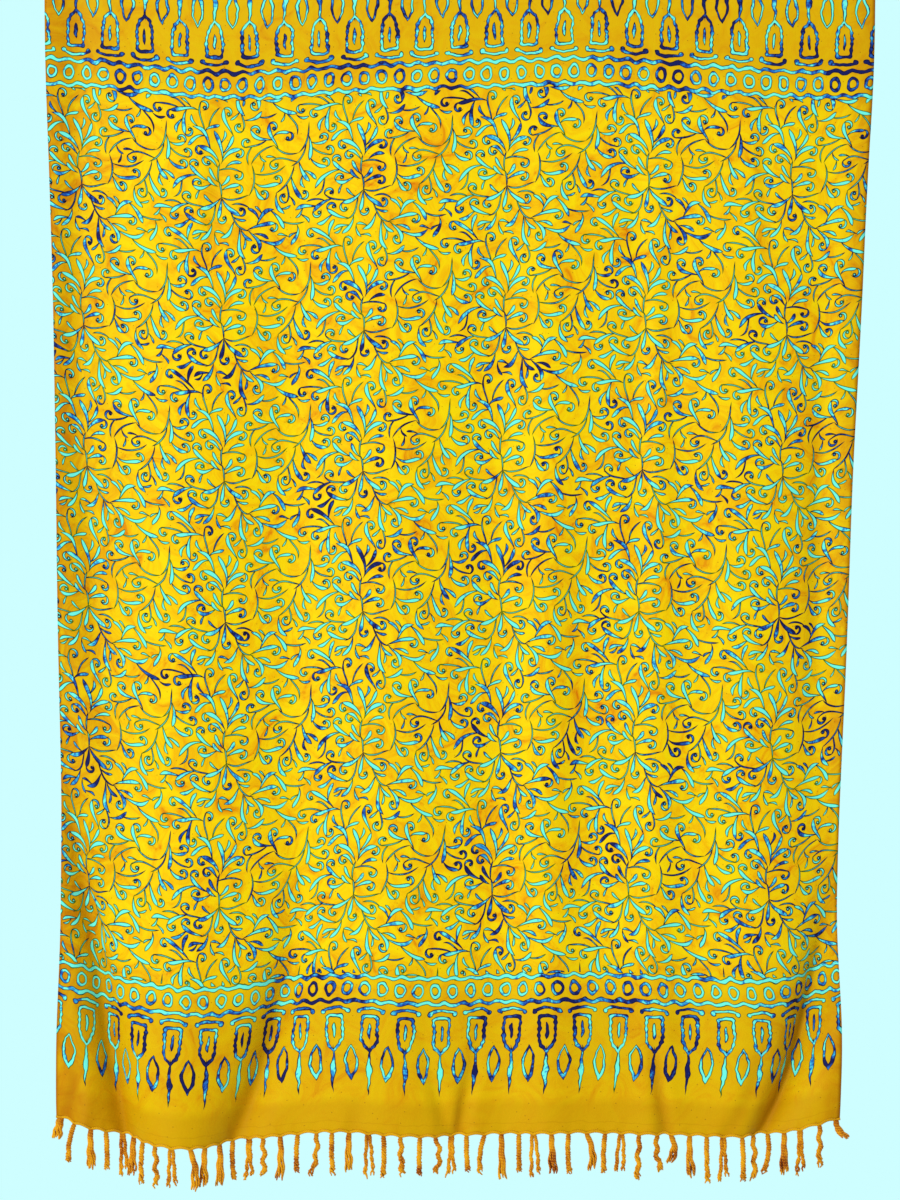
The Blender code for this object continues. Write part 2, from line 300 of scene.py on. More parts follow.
FLUTES = (
    Flute(across=-0.380, depth=-0.013, reach=0.068),
    Flute(across=-0.235, depth=0.010, reach=0.046),
    Flute(across=-0.090, depth=-0.011, reach=0.062),
    Flute(across=0.055, depth=0.009, reach=0.042),
    Flute(across=0.120, depth=-0.008, reach=0.038),
    Flute(across=0.272, depth=-0.008, reach=0.028),
    Flute(across=0.400, depth=-0.013, reach=0.058),
    Flute(across=0.500, depth=0.009, reach=0.030),
)

CREASES = {
    "sharp line in the right corner fold": (
        Knot(1.34, 0.520, 0.000, 0.010),
        Knot(1.46, 0.488, 0.006, 0.010),
        Knot(1.56, 0.462, 0.009, 0.011),
        Knot(1.63, 0.436, 0.009, 0.012),
        Knot(1.70, 0.392, 0.005, 0.013),
    ),
    "second line in the right corner": (
        Knot(1.50, 0.428, 0.000, 0.012),
        Knot(1.60, 0.402, 0.004, 0.012),
        Knot(1.70, 0.350, 0.003, 0.014),
    ),
    "sharp line in the left corner fold": (
        Knot(1.20, -0.541, 0.000, 0.010),
        Knot(1.38, -0.512, 0.005, 0.010),
        Knot(1.55, -0.486, 0.007, 0.011),
        Knot(1.70, -0.458, 0.006, 0.012),
    ),
    "left corner crumple": (
        Knot(1.56, -0.540, 0.000, 0.010),
        Knot(1.61, -0.530, 0.005, 0.009),
        Knot(1.66, -0.546, 0.006, 0.010),
    ),
    "left corner second crumple": (
        Knot(1.60, -0.508, 0.000, 0.010),
        Knot(1.65, -0.514, -0.004, 0.009),
        Knot(1.70, -0.522, -0.005, 0.010),
    ),
    "sharp line in the sweeping fold": (
        Knot(1.38, -0.226, 0.000, 0.012),
        Knot(1.50, -0.252, 0.005, 0.012),
        Knot(1.60, -0.286, 0.006, 0.013),
        Knot(1.70, -0.330, 0.004, 0.015),
    ),
    "hem pull left of the middle": (
        Knot(1.60, -0.140, 0.000, 0.012),
        Knot(1.66, -0.148, 0.003, 0.013),
    ),
    "sharp line in the middle pleat": (
        Knot(1.56, 0.010, 0.000, 0.007),
        Knot(1.66, -0.003, 0.005, 0.007),
    ),
    "sharp line in the short hem hollow": (
        Knot(1.52, 0.264, 0.000, 0.008),
        Knot(1.58, 0.271, 0.005, 0.008),
        Knot(1.66, 0.284, 0.005, 0.009),
    ),
    "upper left line": (
        Knot(0.18, -0.330, 0.000, 0.012),
        Knot(0.34, -0.338, 0.003, 0.013),
        Knot(0.52, -0.350, 0.000, 0.013),
    ),
    "upper right line": (
        Knot(0.10, 0.430, 0.000, 0.010),
        Knot(0.30, 0.418, 0.003, 0.011),
        Knot(0.60, 0.424, 0.000, 0.013),
    ),
    "right edge line": (
        Knot(0.45, 0.500, 0.000, 0.011),
        Knot(0.85, 0.494, 0.004, 0.012),
        Knot(1.20, 0.480, 0.000, 0.013),
    ),
}


class TasselKind(Enum):
    """The ways in which a tassel hangs."""

    TWISTED = "T"
    BRUSH = "B"
    SPLIT = "S"
    KINKED = "K"
    STUBBY = "C"


class Tassel(NamedTuple):
    """One tassel: its place as a share of the width, its slope, kink, length and kind."""

    share: float
    lean: float
    kink: float
    length: float
    kind: TasselKind


class OddTassel(NamedTuple):
    """The slope, kink and length of a tassel that stands out from the even row."""

    lean: float
    kink: float
    length: float


ODD_TASSELS = {
    0: OddTassel(lean=-0.20, kink=0.000, length=0.030),
    1: OddTassel(lean=-0.16, kink=-0.003, length=0.056),
    9: OddTassel(lean=0.10, kink=0.004, length=0.058),
    17: OddTassel(lean=-0.12, kink=0.003, length=0.060),
    24: OddTassel(lean=0.02, kink=0.005, length=0.050),
    27: OddTassel(lean=-0.12, kink=-0.003, length=0.056),
    33: OddTassel(lean=0.14, kink=0.004, length=0.052),
    37: OddTassel(lean=0.12, kink=-0.004, length=0.052),
    38: OddTassel(lean=-0.06, kink=0.006, length=0.040),
    44: OddTassel(lean=-0.10, kink=0.004, length=0.058),
    48: OddTassel(lean=0.55, kink=-0.003, length=0.026),
}


@dataclass(frozen=True)
class TasselRow:
    """The tassels along one end of the cloth, a letter of its kinds for each."""

    seed: int
    kinds: str = "CTBTSBTKSBBBTSKBTKTBSTKTKSTTBTSBTBTSKKBBTSTKTBSKB"
    width: float = CLOTH_WIDTH
    edge_margin: float = 0.006
    length: float = 0.060
    wander: float = 0.0018
    lean: float = 0.05
    kink: float = 0.0015
    shortest: float = 0.88
    longest: float = 1.08

    def tassels(self, odd: dict) -> list:
        """Work out every tassel of the row.

        Args:
            odd: the tassels that stand out, by their number.

        Returns:
            The tassels from left to right.
        """
        source = random.Random(self.seed)
        pitch = (self.width - 2.0 * self.edge_margin) / (len(self.kinds) - 1)
        row = []
        for number, letter in enumerate(self.kinds):
            wander = source.uniform(-self.wander, self.wander)
            lean = source.uniform(-self.lean, self.lean)
            kink = source.uniform(-self.kink, self.kink)
            length = self.length * source.uniform(self.shortest, self.longest)
            if number in (0, len(self.kinds) - 1):
                wander = 0.0
            lean, kink, length = odd.get(number, (lean, kink, length))
            share = (self.edge_margin + number * pitch + wander) / self.width
            row.append(Tassel(share, lean, kink, length, TasselKind(letter)))
        return row


@dataclass
class HungCloth:
    """The one length of cloth, hanging in its folds."""

    tassel_shares: np.ndarray
    width: float = CLOTH_WIDTH
    length: float = CLOTH_LENGTH
    thickness: float = 0.0005
    columns_between_tassels: int = 5
    rows: int = 165
    row_crowding: float = 1.25
    fine_steps: int = 900
    fold_ease: float = 0.060
    crease_ease: float = 0.020
    hang_ease: float = 0.030
    ease_steps: int = 7
    flute_start: float = 0.05
    flute_full: float = 0.95
    scallop: float = 0.0034
    scallop_fade: float = 0.013
    pucker: float = 0.0010
    pucker_fade: float = 0.022
    deepest_crease: float = 0.009

    def eased(self, down: float, knots: tuple, column: str, ease: float) -> float:
        """Read one column of a table at a distance down, smoothed along the cloth.

        Args:
            down: the distance below the top edge.
            knots: the rows of the table.
            column: the name of the column.
            ease: how far up and down the cloth the value is averaged.

        Returns:
            The value.
        """
        places = [knot.down for knot in knots]
        values = [getattr(knot, column) for knot in knots]
        window = down + np.linspace(-ease, ease, self.ease_steps)
        return float(np.mean(np.interp(window, places, values)))

    def depth_at(self, across: np.ndarray, down: float) -> np.ndarray:
        """Work out the depth of the cloth's middle surface, positive towards the back.

        Args:
            across: distances to the right of the middle.
            down: distance below the top edge.

        Returns:
            The depth at each place.
        """
        grown = smooth((down - self.flute_start) / (self.flute_full - self.flute_start))
        depth = np.zeros_like(across)
        for flute in FLUTES:
            depth += grown * flute.depth * fold_section(across, flute.across, flute.reach)
        for table, ease in ((FOLDS, self.fold_ease), (CREASES, self.crease_ease)):
            for knots in table.values():
                fold_depth = self.eased(down, knots, "depth", ease)
                if fold_depth == 0.0:
                    continue
                middle = self.eased(down, knots, "across", ease)
                reach = self.eased(down, knots, "reach", ease)
                depth += fold_depth * fold_section(across, middle, reach)
        return depth

    def creased_at(self, across: np.ndarray, down: float) -> np.ndarray:
        """Work out how sharply the cloth is creased, which the material turns into painted shade
        along the creases.

        Args:
            across: distances to the right of the middle.
            down: distance below the top edge.

        Returns:
            A share from 0 to about 1 for each place.
        """
        creased = np.zeros_like(across)
        for knots in CREASES.values():
            depth, middle, reach = (self.eased(down, knots, column, self.crease_ease)
                                    for column in ("depth", "across", "reach"))
            creased += abs(depth) / self.deepest_crease * fold_section(across, middle, reach)
        return creased

    def rise_at(self, share: np.ndarray, down: float) -> np.ndarray:
        """Work out how far the cloth lies above its mean level.

        Args:
            share: places along the row, from 0 at the left edge to 1 at the right.
            down: distance below the top edge.

        Returns:
            The rise at each place.
        """
        places = [hang.share for hang in HANGING]
        window = np.linspace(-self.hang_ease, self.hang_ease, self.ease_steps)
        window = np.asarray(share)[..., None] + window
        top = np.interp(window, places, [hang.top_rise for hang in HANGING]).mean(axis=-1)
        hem = np.interp(window, places, [hang.hem_rise for hang in HANGING]).mean(axis=-1)
        lowered = down / self.length
        return top * (1.0 - lowered) + hem * lowered

    def arch_at(self, share: np.ndarray) -> np.ndarray:
        """Height of the small arches between the tassels, 0 at a tassel and 1 midway."""
        number = np.interp(share, self.tassel_shares, np.arange(len(self.tassel_shares)))
        return np.abs(np.sin(math.pi * number))

    def row(self, down: float, shares: np.ndarray) -> np.ndarray:
        """Lay out one row of the cloth, its points spaced by their true distance along it.

        Args:
            down: distance below the top edge, along the cloth.
            shares: places along the row, from 0 at the left edge to 1 at the right.

        Returns:
            One point in each line of an array.
        """
        left = self.eased(down, SIDE_EDGES, "left", self.fold_ease)
        right = self.eased(down, SIDE_EDGES, "right", self.fold_ease)
        across = np.linspace(left, right, self.fine_steps)
        depth = self.depth_at(across, down)
        run = np.concatenate([[0.0], np.cumsum(np.hypot(np.diff(across), np.diff(depth)))])
        places = shares * run[-1]
        above_hem = self.length - down
        arch = self.arch_at(shares)
        drawn_up = self.scallop * max(0.0, 1.0 - above_hem / self.scallop_fade) ** 2
        drawn_in = self.pucker * max(0.0, 1.0 - above_hem / self.pucker_fade)
        depth = np.interp(places, run, depth) + drawn_in * (1.0 - arch)
        level = self.rise_at(shares, down) - down + drawn_up * arch
        return np.stack([np.interp(places, run, across), depth, level], axis=1)

    def columns(self) -> np.ndarray:
        """Place the columns of the cloth's grid, with one at every tassel.

        Returns:
            Their shares of the width.
        """
        count = self.columns_between_tassels * (len(self.tassel_shares) - 1)
        numbers = np.linspace(0, len(self.tassel_shares) - 1, count + 1)
        between = np.interp(numbers, np.arange(len(self.tassel_shares)), self.tassel_shares)
        return np.concatenate([[0.0], between, [1.0]])

    def row_shares(self) -> np.ndarray:
        """Shares of the length at which the rows lie, closer together towards the hem."""
        return 1.0 - (1.0 - np.linspace(0.0, 1.0, self.rows + 1)) ** self.row_crowding

    def build(self) -> Object:
        """Model the cloth: a grid laid into its rows, then given its thickness.

        Returns:
            The cloth.
        """
        columns, rows = self.columns(), self.row_shares()
        bpy.ops.object.select_all(action="DESELECT")
        bpy.ops.mesh.primitive_grid_add(
            x_subdivisions=len(columns) - 1, y_subdivisions=self.rows, size=1.0, calc_uvs=True)
        cloth = bpy.context.object
        cloth.name = "sarong_cloth"
        hung = np.stack([self.row(share * self.length, columns) for share in reversed(rows)])
        cloth.data.vertices.foreach_set("co", hung.ravel())
        laid = np.stack(np.meshgrid(columns, 1.0 - rows[::-1]), axis=-1).reshape(-1, 2)
        corners = np.empty(len(cloth.data.loops), dtype=np.int32)
        cloth.data.loops.foreach_get("vertex_index", corners)
        cloth.data.uv_layers["UVMap"].data.foreach_set("uv", laid[corners].ravel())
        # How sharply each point is creased, for the painted shade along the creases
        creased = [self.creased_at(line[:, 0], share * self.length)
                   for line, share in zip(hung, reversed(rows))]
        attribute = cloth.data.attributes.new("creased", "FLOAT", "POINT")
        attribute.data.foreach_set("value", np.concatenate(creased))
        cloth.data.update()
        wall = cloth.modifiers.new("thickness", "SOLIDIFY")
        wall.thickness = self.thickness
        wall.offset = 0.0
        bpy.ops.object.modifier_apply(modifier=wall.name)
        cloth.data.shade_smooth()
        return cloth


class Habit(NamedTuple):
    """How the yarns of one kind of tassel run: radii in metres, turns and waves."""

    yarns: int
    narrow: float
    wide: float
    opens: float
    turns: float
    wave: float
    zigzag: float


HABITS = {
    TasselKind.TWISTED: Habit(yarns=7, narrow=0.0027, wide=0.0038, opens=0.80, turns=3.4,
                              wave=0.0004, zigzag=0.0002),
    TasselKind.BRUSH: Habit(yarns=8, narrow=0.0027, wide=0.0048, opens=0.20, turns=0.9,
                            wave=0.0011, zigzag=0.0006),
    TasselKind.SPLIT: Habit(yarns=4, narrow=0.0016, wide=0.0024, opens=0.75, turns=3.0,
                            wave=0.0005, zigzag=0.0007),
    TasselKind.KINKED: Habit(yarns=6, narrow=0.0024, wide=0.0034, opens=0.78, turns=2.6,
                             wave=0.0006, zigzag=0.0020),
    TasselKind.STUBBY: Habit(yarns=11, narrow=0.0042, wide=0.0062, opens=0.30, turns=0.6,
                             wave=0.0012, zigzag=0.0006),
}


@dataclass
class Fringe:
    """The corded edge along one end of the cloth and the tassels drawn out of it."""

    name: str
    cloth: HungCloth
    down: float
    tassels: list
    behind: float = 0.0
    sink: float = 0.0014
    seed: int = 7
    yarn_radius: float = 0.0015
    yarn_sides: int = 5
    yarn_steps: int = 14
    split_spread: float = 0.055
    cord_plies: int = 3
    cord_radius: float = 0.0010
    ply_radius: float = 0.0012
    cord_pitch: float = 0.0075
    cord_steps: int = 1000
    cord_sides: int = 5
    back_gap: float = 0.0060
    root_share: float = 0.10
    root_size: float = 0.65
    turns_when_open: float = 0.2
    zigzags: float = 5.0
    zigzag_growth: float = 4.0
    zigzag_depth: float = 0.4
    wave_turn: float = 7.0
    wave_depth: float = 0.5
    flatness: float = 0.8
    shortest_yarn: float = 0.86
    tip_share: float = 0.92
    tip_size: float = 0.55
    split_gap: float = 0.0019
    split_length: float = 0.90

    def __post_init__(self) -> None:
        """Start with no points and no faces."""
        self.source = random.Random(self.seed)
        self.points, self.faces, self.laid = [], [], []

    def edge_points(self, shares: np.ndarray) -> np.ndarray:
        """Middle of the corded edge at some shares of the width."""
        return self.cloth.row(self.down, shares) + (0.0, self.behind, -self.sink)

    def add_tube(self, middle: np.ndarray, radii: np.ndarray, sides: int) -> None:
        """Add one closed tube, its UVs turning round it and running along it in centimetres.

        Args:
            middle: the points of its middle line.
            radii: its radius at each point.
            sides: how many sides it has.
        """
        way = np.gradient(middle, axis=0)
        way /= np.linalg.norm(way, axis=1, keepdims=True)
        flattest = np.eye(3)[int(np.argmin(np.abs(way).mean(axis=0)))]
        side = np.cross(way, flattest)
        side /= np.linalg.norm(side, axis=1, keepdims=True)
        other = np.cross(way, side)
        angles = np.linspace(0.0, 2.0 * math.pi, sides, endpoint=False)
        rings = middle[:, None] + radii[:, None, None] * (
            np.cos(angles)[:, None] * side[:, None] + np.sin(angles)[:, None] * other[:, None])
        first = len(self.points)
        self.points.extend(rings.reshape(-1, 3).tolist())
        run = CM_IN_M * run_along(middle)
        last = len(middle) - 1
        for step in range(last):
            for number in range(sides):
                after = (number + 1) % sides
                low, high = first + step * sides, first + (step + 1) * sides
                self.faces.append((low + number, low + after, high + after, high + number))
                left, right = number / sides, (number + 1) / sides
                self.laid += [(left, run[step]), (right, run[step]),
                              (right, run[step + 1]), (left, run[step + 1])]
        for ring, turn in ((0, -1), (last, 1)):
            end = [first + ring * sides + number for number in range(sides)]
            self.faces.append(tuple(end[::turn]))
            self.laid += [(0.5, run[ring])] * sides

    def add_leg(self, root: np.ndarray, lean: float, kink: float, length: float,
                habit: Habit) -> None:
        """Add the twisted yarns of one tassel, or of half a split one.

        Args:
            root: where it comes out of the corded edge.
            lean: its slope to the right.
            kink: how far its middle bows out.
            length: its length.
            habit: how its yarns run.
        """
        share = np.linspace(0.0, 1.0, self.yarn_steps + 1)
        opened = smooth((share - habit.opens) / (1.0 - habit.opens))
        radius = habit.narrow + (habit.wide - habit.narrow) * opened
        radius *= np.interp(share, (0.0, self.root_share), (self.root_size, 1.0))
        turned = np.minimum(share, habit.opens + self.turns_when_open * opened)
        turned *= 2.0 * math.pi * habit.turns
        zigzag_start = self.source.uniform(0.0, 2.0 * math.pi)
        zigzag = habit.zigzag * np.sin(self.zigzags * math.pi * share + zigzag_start)
        zigzag *= np.minimum(1.0, self.zigzag_growth * share)
        bow = kink * np.sin(math.pi * share)
        for yarn in range(habit.yarns):
            angle = turned + 2.0 * math.pi * yarn / habit.yarns
            drop = share * length * self.source.uniform(self.shortest_yarn, 1.0)
            wave_start = self.source.uniform(0.0, 2.0 * math.pi)
            wave = habit.wave * opened * np.sin(self.wave_turn * share + wave_start)
            x = root[0] + lean * drop + bow + zigzag + radius * np.cos(angle) + wave
            z = root[2] - drop
            y = np.full_like(x, root[1]) + self.zigzag_depth * zigzag
            if self.behind:
                backs = [self.cloth.depth_at(np.array([place]), -level)[0]
                         for place, level in zip(x, z)]
                y = np.maximum(y, np.array(backs) + self.back_gap)
            y = y + self.flatness * radius * np.sin(angle) - self.wave_depth * wave
            taper = np.interp(share, (0.0, self.tip_share, 1.0), (1.0, 1.0, self.tip_size))
            radii = self.yarn_radius * taper
            self.add_tube(np.stack([x, y, z], axis=1), radii, self.yarn_sides)

    def add_tassel(self, tassel: Tassel) -> None:
        """Add one tassel of its kind.

        Args:
            tassel: the tassel.
        """
        root = self.edge_points(np.array([tassel.share]))[0]
        habit = HABITS[tassel.kind]
        if tassel.kind is not TasselKind.SPLIT:
            self.add_leg(root, tassel.lean, tassel.kink, tassel.length, habit)
            return
        for side, length in ((-1.0, tassel.length), (1.0, self.split_length * tassel.length)):
            apart = root + (side * self.split_gap, 0.0, 0.0)
            lean = tassel.lean + side * self.split_spread
            self.add_leg(apart, lean, -side * tassel.kink, length, habit)

    def add_edge_cord(self) -> None:
        """Add the corded edge, its plies twisted round each other."""
        middle = self.edge_points(np.linspace(0.0, 1.0, self.cord_steps + 1))
        run = run_along(middle)
        for ply in range(self.cord_plies):
            angle = 2.0 * math.pi * (run / self.cord_pitch + ply / self.cord_plies)
            around = np.stack([np.zeros_like(angle), np.cos(angle), np.sin(angle)], axis=1)
            radii = np.full(len(run), self.ply_radius)
            self.add_tube(middle + self.cord_radius * around, radii, self.cord_sides)

    def build(self) -> Object:
        """Model the whole fringe as one piece.

        Returns:
            The fringe.
        """
        self.add_edge_cord()
        corded_faces = len(self.faces)
        for tassel in self.tassels:
            self.add_tassel(tassel)
        mesh = bpy.data.meshes.new(self.name)
        mesh.from_pydata(self.points, [], self.faces)
        layer = mesh.uv_layers.new(name="UVMap")
        layer.data.foreach_set("uv", np.array(self.laid, dtype=np.float32).ravel())
        edging = mesh.attributes.new("edging", "FLOAT", "FACE")
        corded = np.arange(len(self.faces)) < corded_faces
        edging.data.foreach_set("value", corded.astype(np.float32))
        mesh.update()
        mesh.shade_smooth()
        fringe = bpy.data.objects.new(self.name, mesh)
        bpy.context.scene.collection.objects.link(fringe)
        return fringe


STEM_START = 8.0
WIDEST_PLACES = np.linspace(0.0, 0.8, 17)


class Stroke(NamedTuple):
    """One stroke of the stamp in millimetres: its ends, half width, bend, twist and hook.

    The smaller its start, the thinner it begins. A stem starts as thick as it ends.
    """

    x0: float
    y0: float
    x1: float
    y1: float
    half: float
    bend: float = 0.0
    twist: float = 0.0
    hook: float = 0.0
    start: float = 1.3

    def middle(self) -> tuple:
        """Middle between the two ends."""
        return 0.5 * (self.x0 + self.x1), 0.5 * (self.y0 + self.y1)

    def reach(self) -> float:
        """Half the distance between the two ends."""
        return 0.5 * math.hypot(self.x1 - self.x0, self.y1 - self.y0)

    def angle(self) -> float:
        """Direction from the first end to the second."""
        return math.atan2(self.y1 - self.y0, self.x1 - self.x0)

    def point(self, along: float) -> tuple:
        """Find a point on the middle line.

        Args:
            along: the place, from -1 at the first end to 1 at the second.

        Returns:
            Its x and y.
        """
        side = (self.bend + self.twist * along) * (1.0 - along * along)
        forward = along * self.reach()
        x, y = self.middle()
        cosine, sine = math.cos(self.angle()), math.sin(self.angle())
        return x + forward * cosine - side * sine, y + forward * sine + side * cosine

    def half_at(self, along: np.ndarray) -> np.ndarray:
        """Half width at some places along it: thin at first, widest past the middle."""
        widest = ((1.0 - WIDEST_PLACES ** 4) * (self.start + WIDEST_PLACES)).max()
        return self.half * (1.0 - along ** 4) * (self.start + along) / widest

    def heading(self, along: float) -> float:
        """Direction in which the middle line runs at a place along it."""
        slope = -2.0 * self.bend * along + self.twist * (1.0 - 3.0 * along * along)
        return self.angle() + math.atan2(slope, self.reach())


class Growth(NamedTuple):
    """One stage of growth: the lengths in millimetres, how many, and the share with curls."""

    shortest: float
    longest: float
    wanted: int
    curled: float


@dataclass(frozen=True)
class VineRepeat:
    """The repeat of the stamped vine: a few strokes given one by one, the rest grown from them.

    Lengths are in millimetres, and sizes and shifts of a curl are shares of its radius.
    """

    wide: float = 200.0
    tall: float = 196.0
    seed: int = 13
    misses: int = 1200
    clearance: float = 1.8
    curl_radius: float = 7.0
    stem_half: float = 1.45
    stem_length: float = 26.0
    stem_share: float = 0.3
    leaf_half: float = 3.3
    leaf_slenderness: float = 0.112
    root_reach: float = 9.0
    samples: int = 13
    parents_tried: int = 5
    leaf_start: float = 1.3
    root_overlap: float = 0.06
    hole_size: float = 0.73
    hole_shift: float = 0.33
    ball_size: float = 0.38
    ball_shift: float = 0.46
    ball_turn: float = math.radians(70.0)
    hole_turn: float = math.radians(64.0)
    curl_root: float = 0.86
    curl_offset: float = 0.84
    thinnest: float = 0.4
    root_samples: int = 4
    near_root_samples: int = 3
    first_fork: float = -0.5
    last_fork: float = 0.95
    last_fork_if_curled: float = 0.5
    least_fork_degrees: float = 18.0
    most_fork_degrees: float = 60.0
    least_bend: float = 0.07
    most_bend: float = 0.20
    twist_share: float = 0.12
    root_allowance: float = 1.0

    def curl_of(self, stroke: Stroke) -> np.ndarray:
        """Place the curl that continues a hooked stroke.

        Args:
            stroke: a stroke whose hook is 1 for a turn to the left and -1 for the right.

        Returns:
            Three rows with the centres of its disc, of the hole in it and of its ball.
        """
        turn, radius = stroke.hook, self.curl_radius
        way = stroke.heading(1.0)
        end = np.array(stroke.point(self.curl_root))
        sideways = np.array([-math.sin(way), math.cos(way)])
        centre = end + self.curl_offset * radius * turn * sideways
        opening = math.atan2(*(end - centre)[::-1]) - turn * self.hole_turn
        tip = opening - turn * self.ball_turn
        hole = centre + self.hole_shift * radius * np.array([math.cos(opening), math.sin(opening)])
        ball = centre + self.ball_shift * radius * np.array([math.cos(tip), math.sin(tip)])
        return np.array([centre, hole, ball])

    def cloud(self, stroke: Stroke) -> np.ndarray:
        """Sample a stroke, with the curl that continues it.

        Args:
            stroke: the stroke.

        Returns:
            Rows of x, y and half width.
        """
        places = np.linspace(-1.0, 1.0, self.samples)
        halves = np.maximum(stroke.half_at(places), self.thinnest)
        rows = [(*stroke.point(place), half) for place, half in zip(places, halves)]
        if stroke.hook:
            rows.append((*self.curl_of(stroke)[0], self.curl_radius))
        return np.array(rows)

    def distances(self, points: np.ndarray, others: np.ndarray) -> np.ndarray:
        """Measure between two sets of points, across the edges of the repeat too.

        Args:
            points: rows that begin with x and y.
            others: rows that begin with x and y.

        Returns:
            A table of distances, a row for each of the points.
        """
        x = points[:, None, 0] - others[None, :, 0]
        y = points[:, None, 1] - others[None, :, 1]
        x -= self.wide * np.round(x / self.wide)
        y -= self.tall * np.round(y / self.tall)
        return np.hypot(x, y)

    def fits(self, cloud: np.ndarray, others: np.ndarray) -> bool:
        """Tell whether a new stroke keeps clear of all others, apart from at its root.

        Args:
            cloud: the samples of the new stroke.
            others: the samples of all others.

        Returns:
            Whether it fits.
        """
        at_root = self.distances(cloud[:1], others)[0] <= self.root_reach
        cloud = cloud[self.root_samples:]
        apart = self.distances(cloud, others) - cloud[:, None, 2] - others[None, :, 2]
        apart[:, at_root] += self.root_allowance
        apart[:self.near_root_samples, at_root] += self.root_reach
        return bool(apart.min() > self.clearance)

    def shoot(self, source: random.Random, strokes: list, taken: np.ndarray,
              stage: Growth) -> Stroke:
        """Draw one new stroke out of an old one, towards where there is room.

        Args:
            source: where the chances come from.
            strokes: the strokes so far.
            taken: their samples.
            stage: the stage of growth.

        Returns:
            The new stroke.
        """
        length = source.uniform(stage.shortest, stage.longest)
        best_room = -1.0
        for _ in range(self.parents_tried):
            parent = source.choice(strokes)
            last_fork = self.last_fork_if_curled if parent.hook else self.last_fork
            along = source.uniform(self.first_fork, last_fork)
            side = source.choice((-1.0, 1.0))
            fork = source.uniform(self.least_fork_degrees, self.most_fork_degrees)
            way = parent.heading(along) + side * math.radians(fork)
            x, y = parent.point(along)
            tip = np.array([[x + length * math.cos(way), y + length * math.sin(way)]])
            room = self.distances(tip, taken).min()
            if room > best_room:
                best_room, root, direction = room, (x, y), way
        turn = source.choice((-1.0, 1.0))
        bend = turn * length * source.uniform(self.least_bend, self.most_bend)
        twist = source.choice((0.0, 0.0, -1.0, 1.0)) * self.twist_share * length
        direction -= math.atan2(2.0 * (bend - twist), 0.5 * length)
        ahead = length * math.cos(direction), length * math.sin(direction)
        end = root[0] + ahead[0], root[1] + ahead[1]
        root = root[0] - self.root_overlap * ahead[0], root[1] - self.root_overlap * ahead[1]
        hook = 0.0
        if source.random() < stage.curled:
            hook = -turn
        half, start = min(self.leaf_half, self.leaf_slenderness * length), self.leaf_start
        if length > self.stem_length and source.random() < self.stem_share:
            half, start = self.stem_half, STEM_START
        return Stroke(*root, *end, half, bend, twist, hook, start)

    def grow(self, hand: tuple, stages: tuple) -> list:
        """Grow the whole repeat, the long strokes before the short ones.

        Args:
            hand: the strokes given one by one.
            stages: the stages of growth.

        Returns:
            All strokes.
        """
        source = random.Random(self.seed)
        strokes = list(hand)
        taken = np.concatenate([self.cloud(stroke) for stroke in strokes])
        for stage in stages:
            placed = missed = 0
            while placed < stage.wanted and missed < self.misses:
                stroke = self.shoot(source, strokes, taken, stage)
                cloud = self.cloud(stroke)
                if self.fits(cloud, taken):
                    strokes.append(stroke)
                    taken = np.concatenate([taken, cloud])
                    placed += 1
                    missed = 0
                else:
                    missed += 1
        return strokes


HAND_STROKES = (
    Stroke(40, 98, 10, 124, 3.8, -6.0, 0.0, 1.0),
    Stroke(41, 98, 70, 121, 3.6, 6.0, 0.0, -1.0),
    Stroke(42, 100, 32, 146, 3.4, -5.0, 2.0),
    Stroke(41, 112, 60, 140, 3.0, -3.5),
    Stroke(38, 74, 40, 101, 1.45, 2.0, start=STEM_START),
    Stroke(38, 68, 22, 82, 3.0, 2.5),
    Stroke(38, 68, 53, 84, 3.2, -2.5),
    Stroke(41, 52, 38, 76, 1.45, -1.5, start=STEM_START),
    Stroke(41, 55, 36, 23, 3.2, 1.5, 0.0, 1.0),
    Stroke(42, 55, 10, 36, 3.5, 4.5, 0.0, 1.0),
    Stroke(41, 56, 68, 27, 3.7, -4.0, 2.0, 1.0),
    Stroke(81, 57, 40, 55, 1.45, 5.0, 3.0, start=STEM_START),
    Stroke(84, 99, 80, 55, 1.45, 6.0, start=STEM_START),
    Stroke(118, 124, 83, 98, 1.45, -6.0, start=STEM_START),
    Stroke(151, 112, 116, 124, 1.45, 6.0, start=STEM_START),
    Stroke(165, 154, 149, 111, 1.45, 6.0, 3.0, start=STEM_START),
)
GROWTH_STAGES = (
    Growth(shortest=34.0, longest=46.0, wanted=34, curled=0.5),
    Growth(shortest=24.0, longest=33.0, wanted=36, curled=0.5),
    Growth(shortest=16.0, longest=22.0, wanted=24, curled=0.1),
)
STROKE_PARTS = ("along_x", "along_y", "along_start", "across_x", "across_y", "across_start",
                "bend", "twist", "start", "half")
CURL_PARTS = ("disc_x", "disc_y", "hole_x", "hole_y", "ball_x", "ball_y")


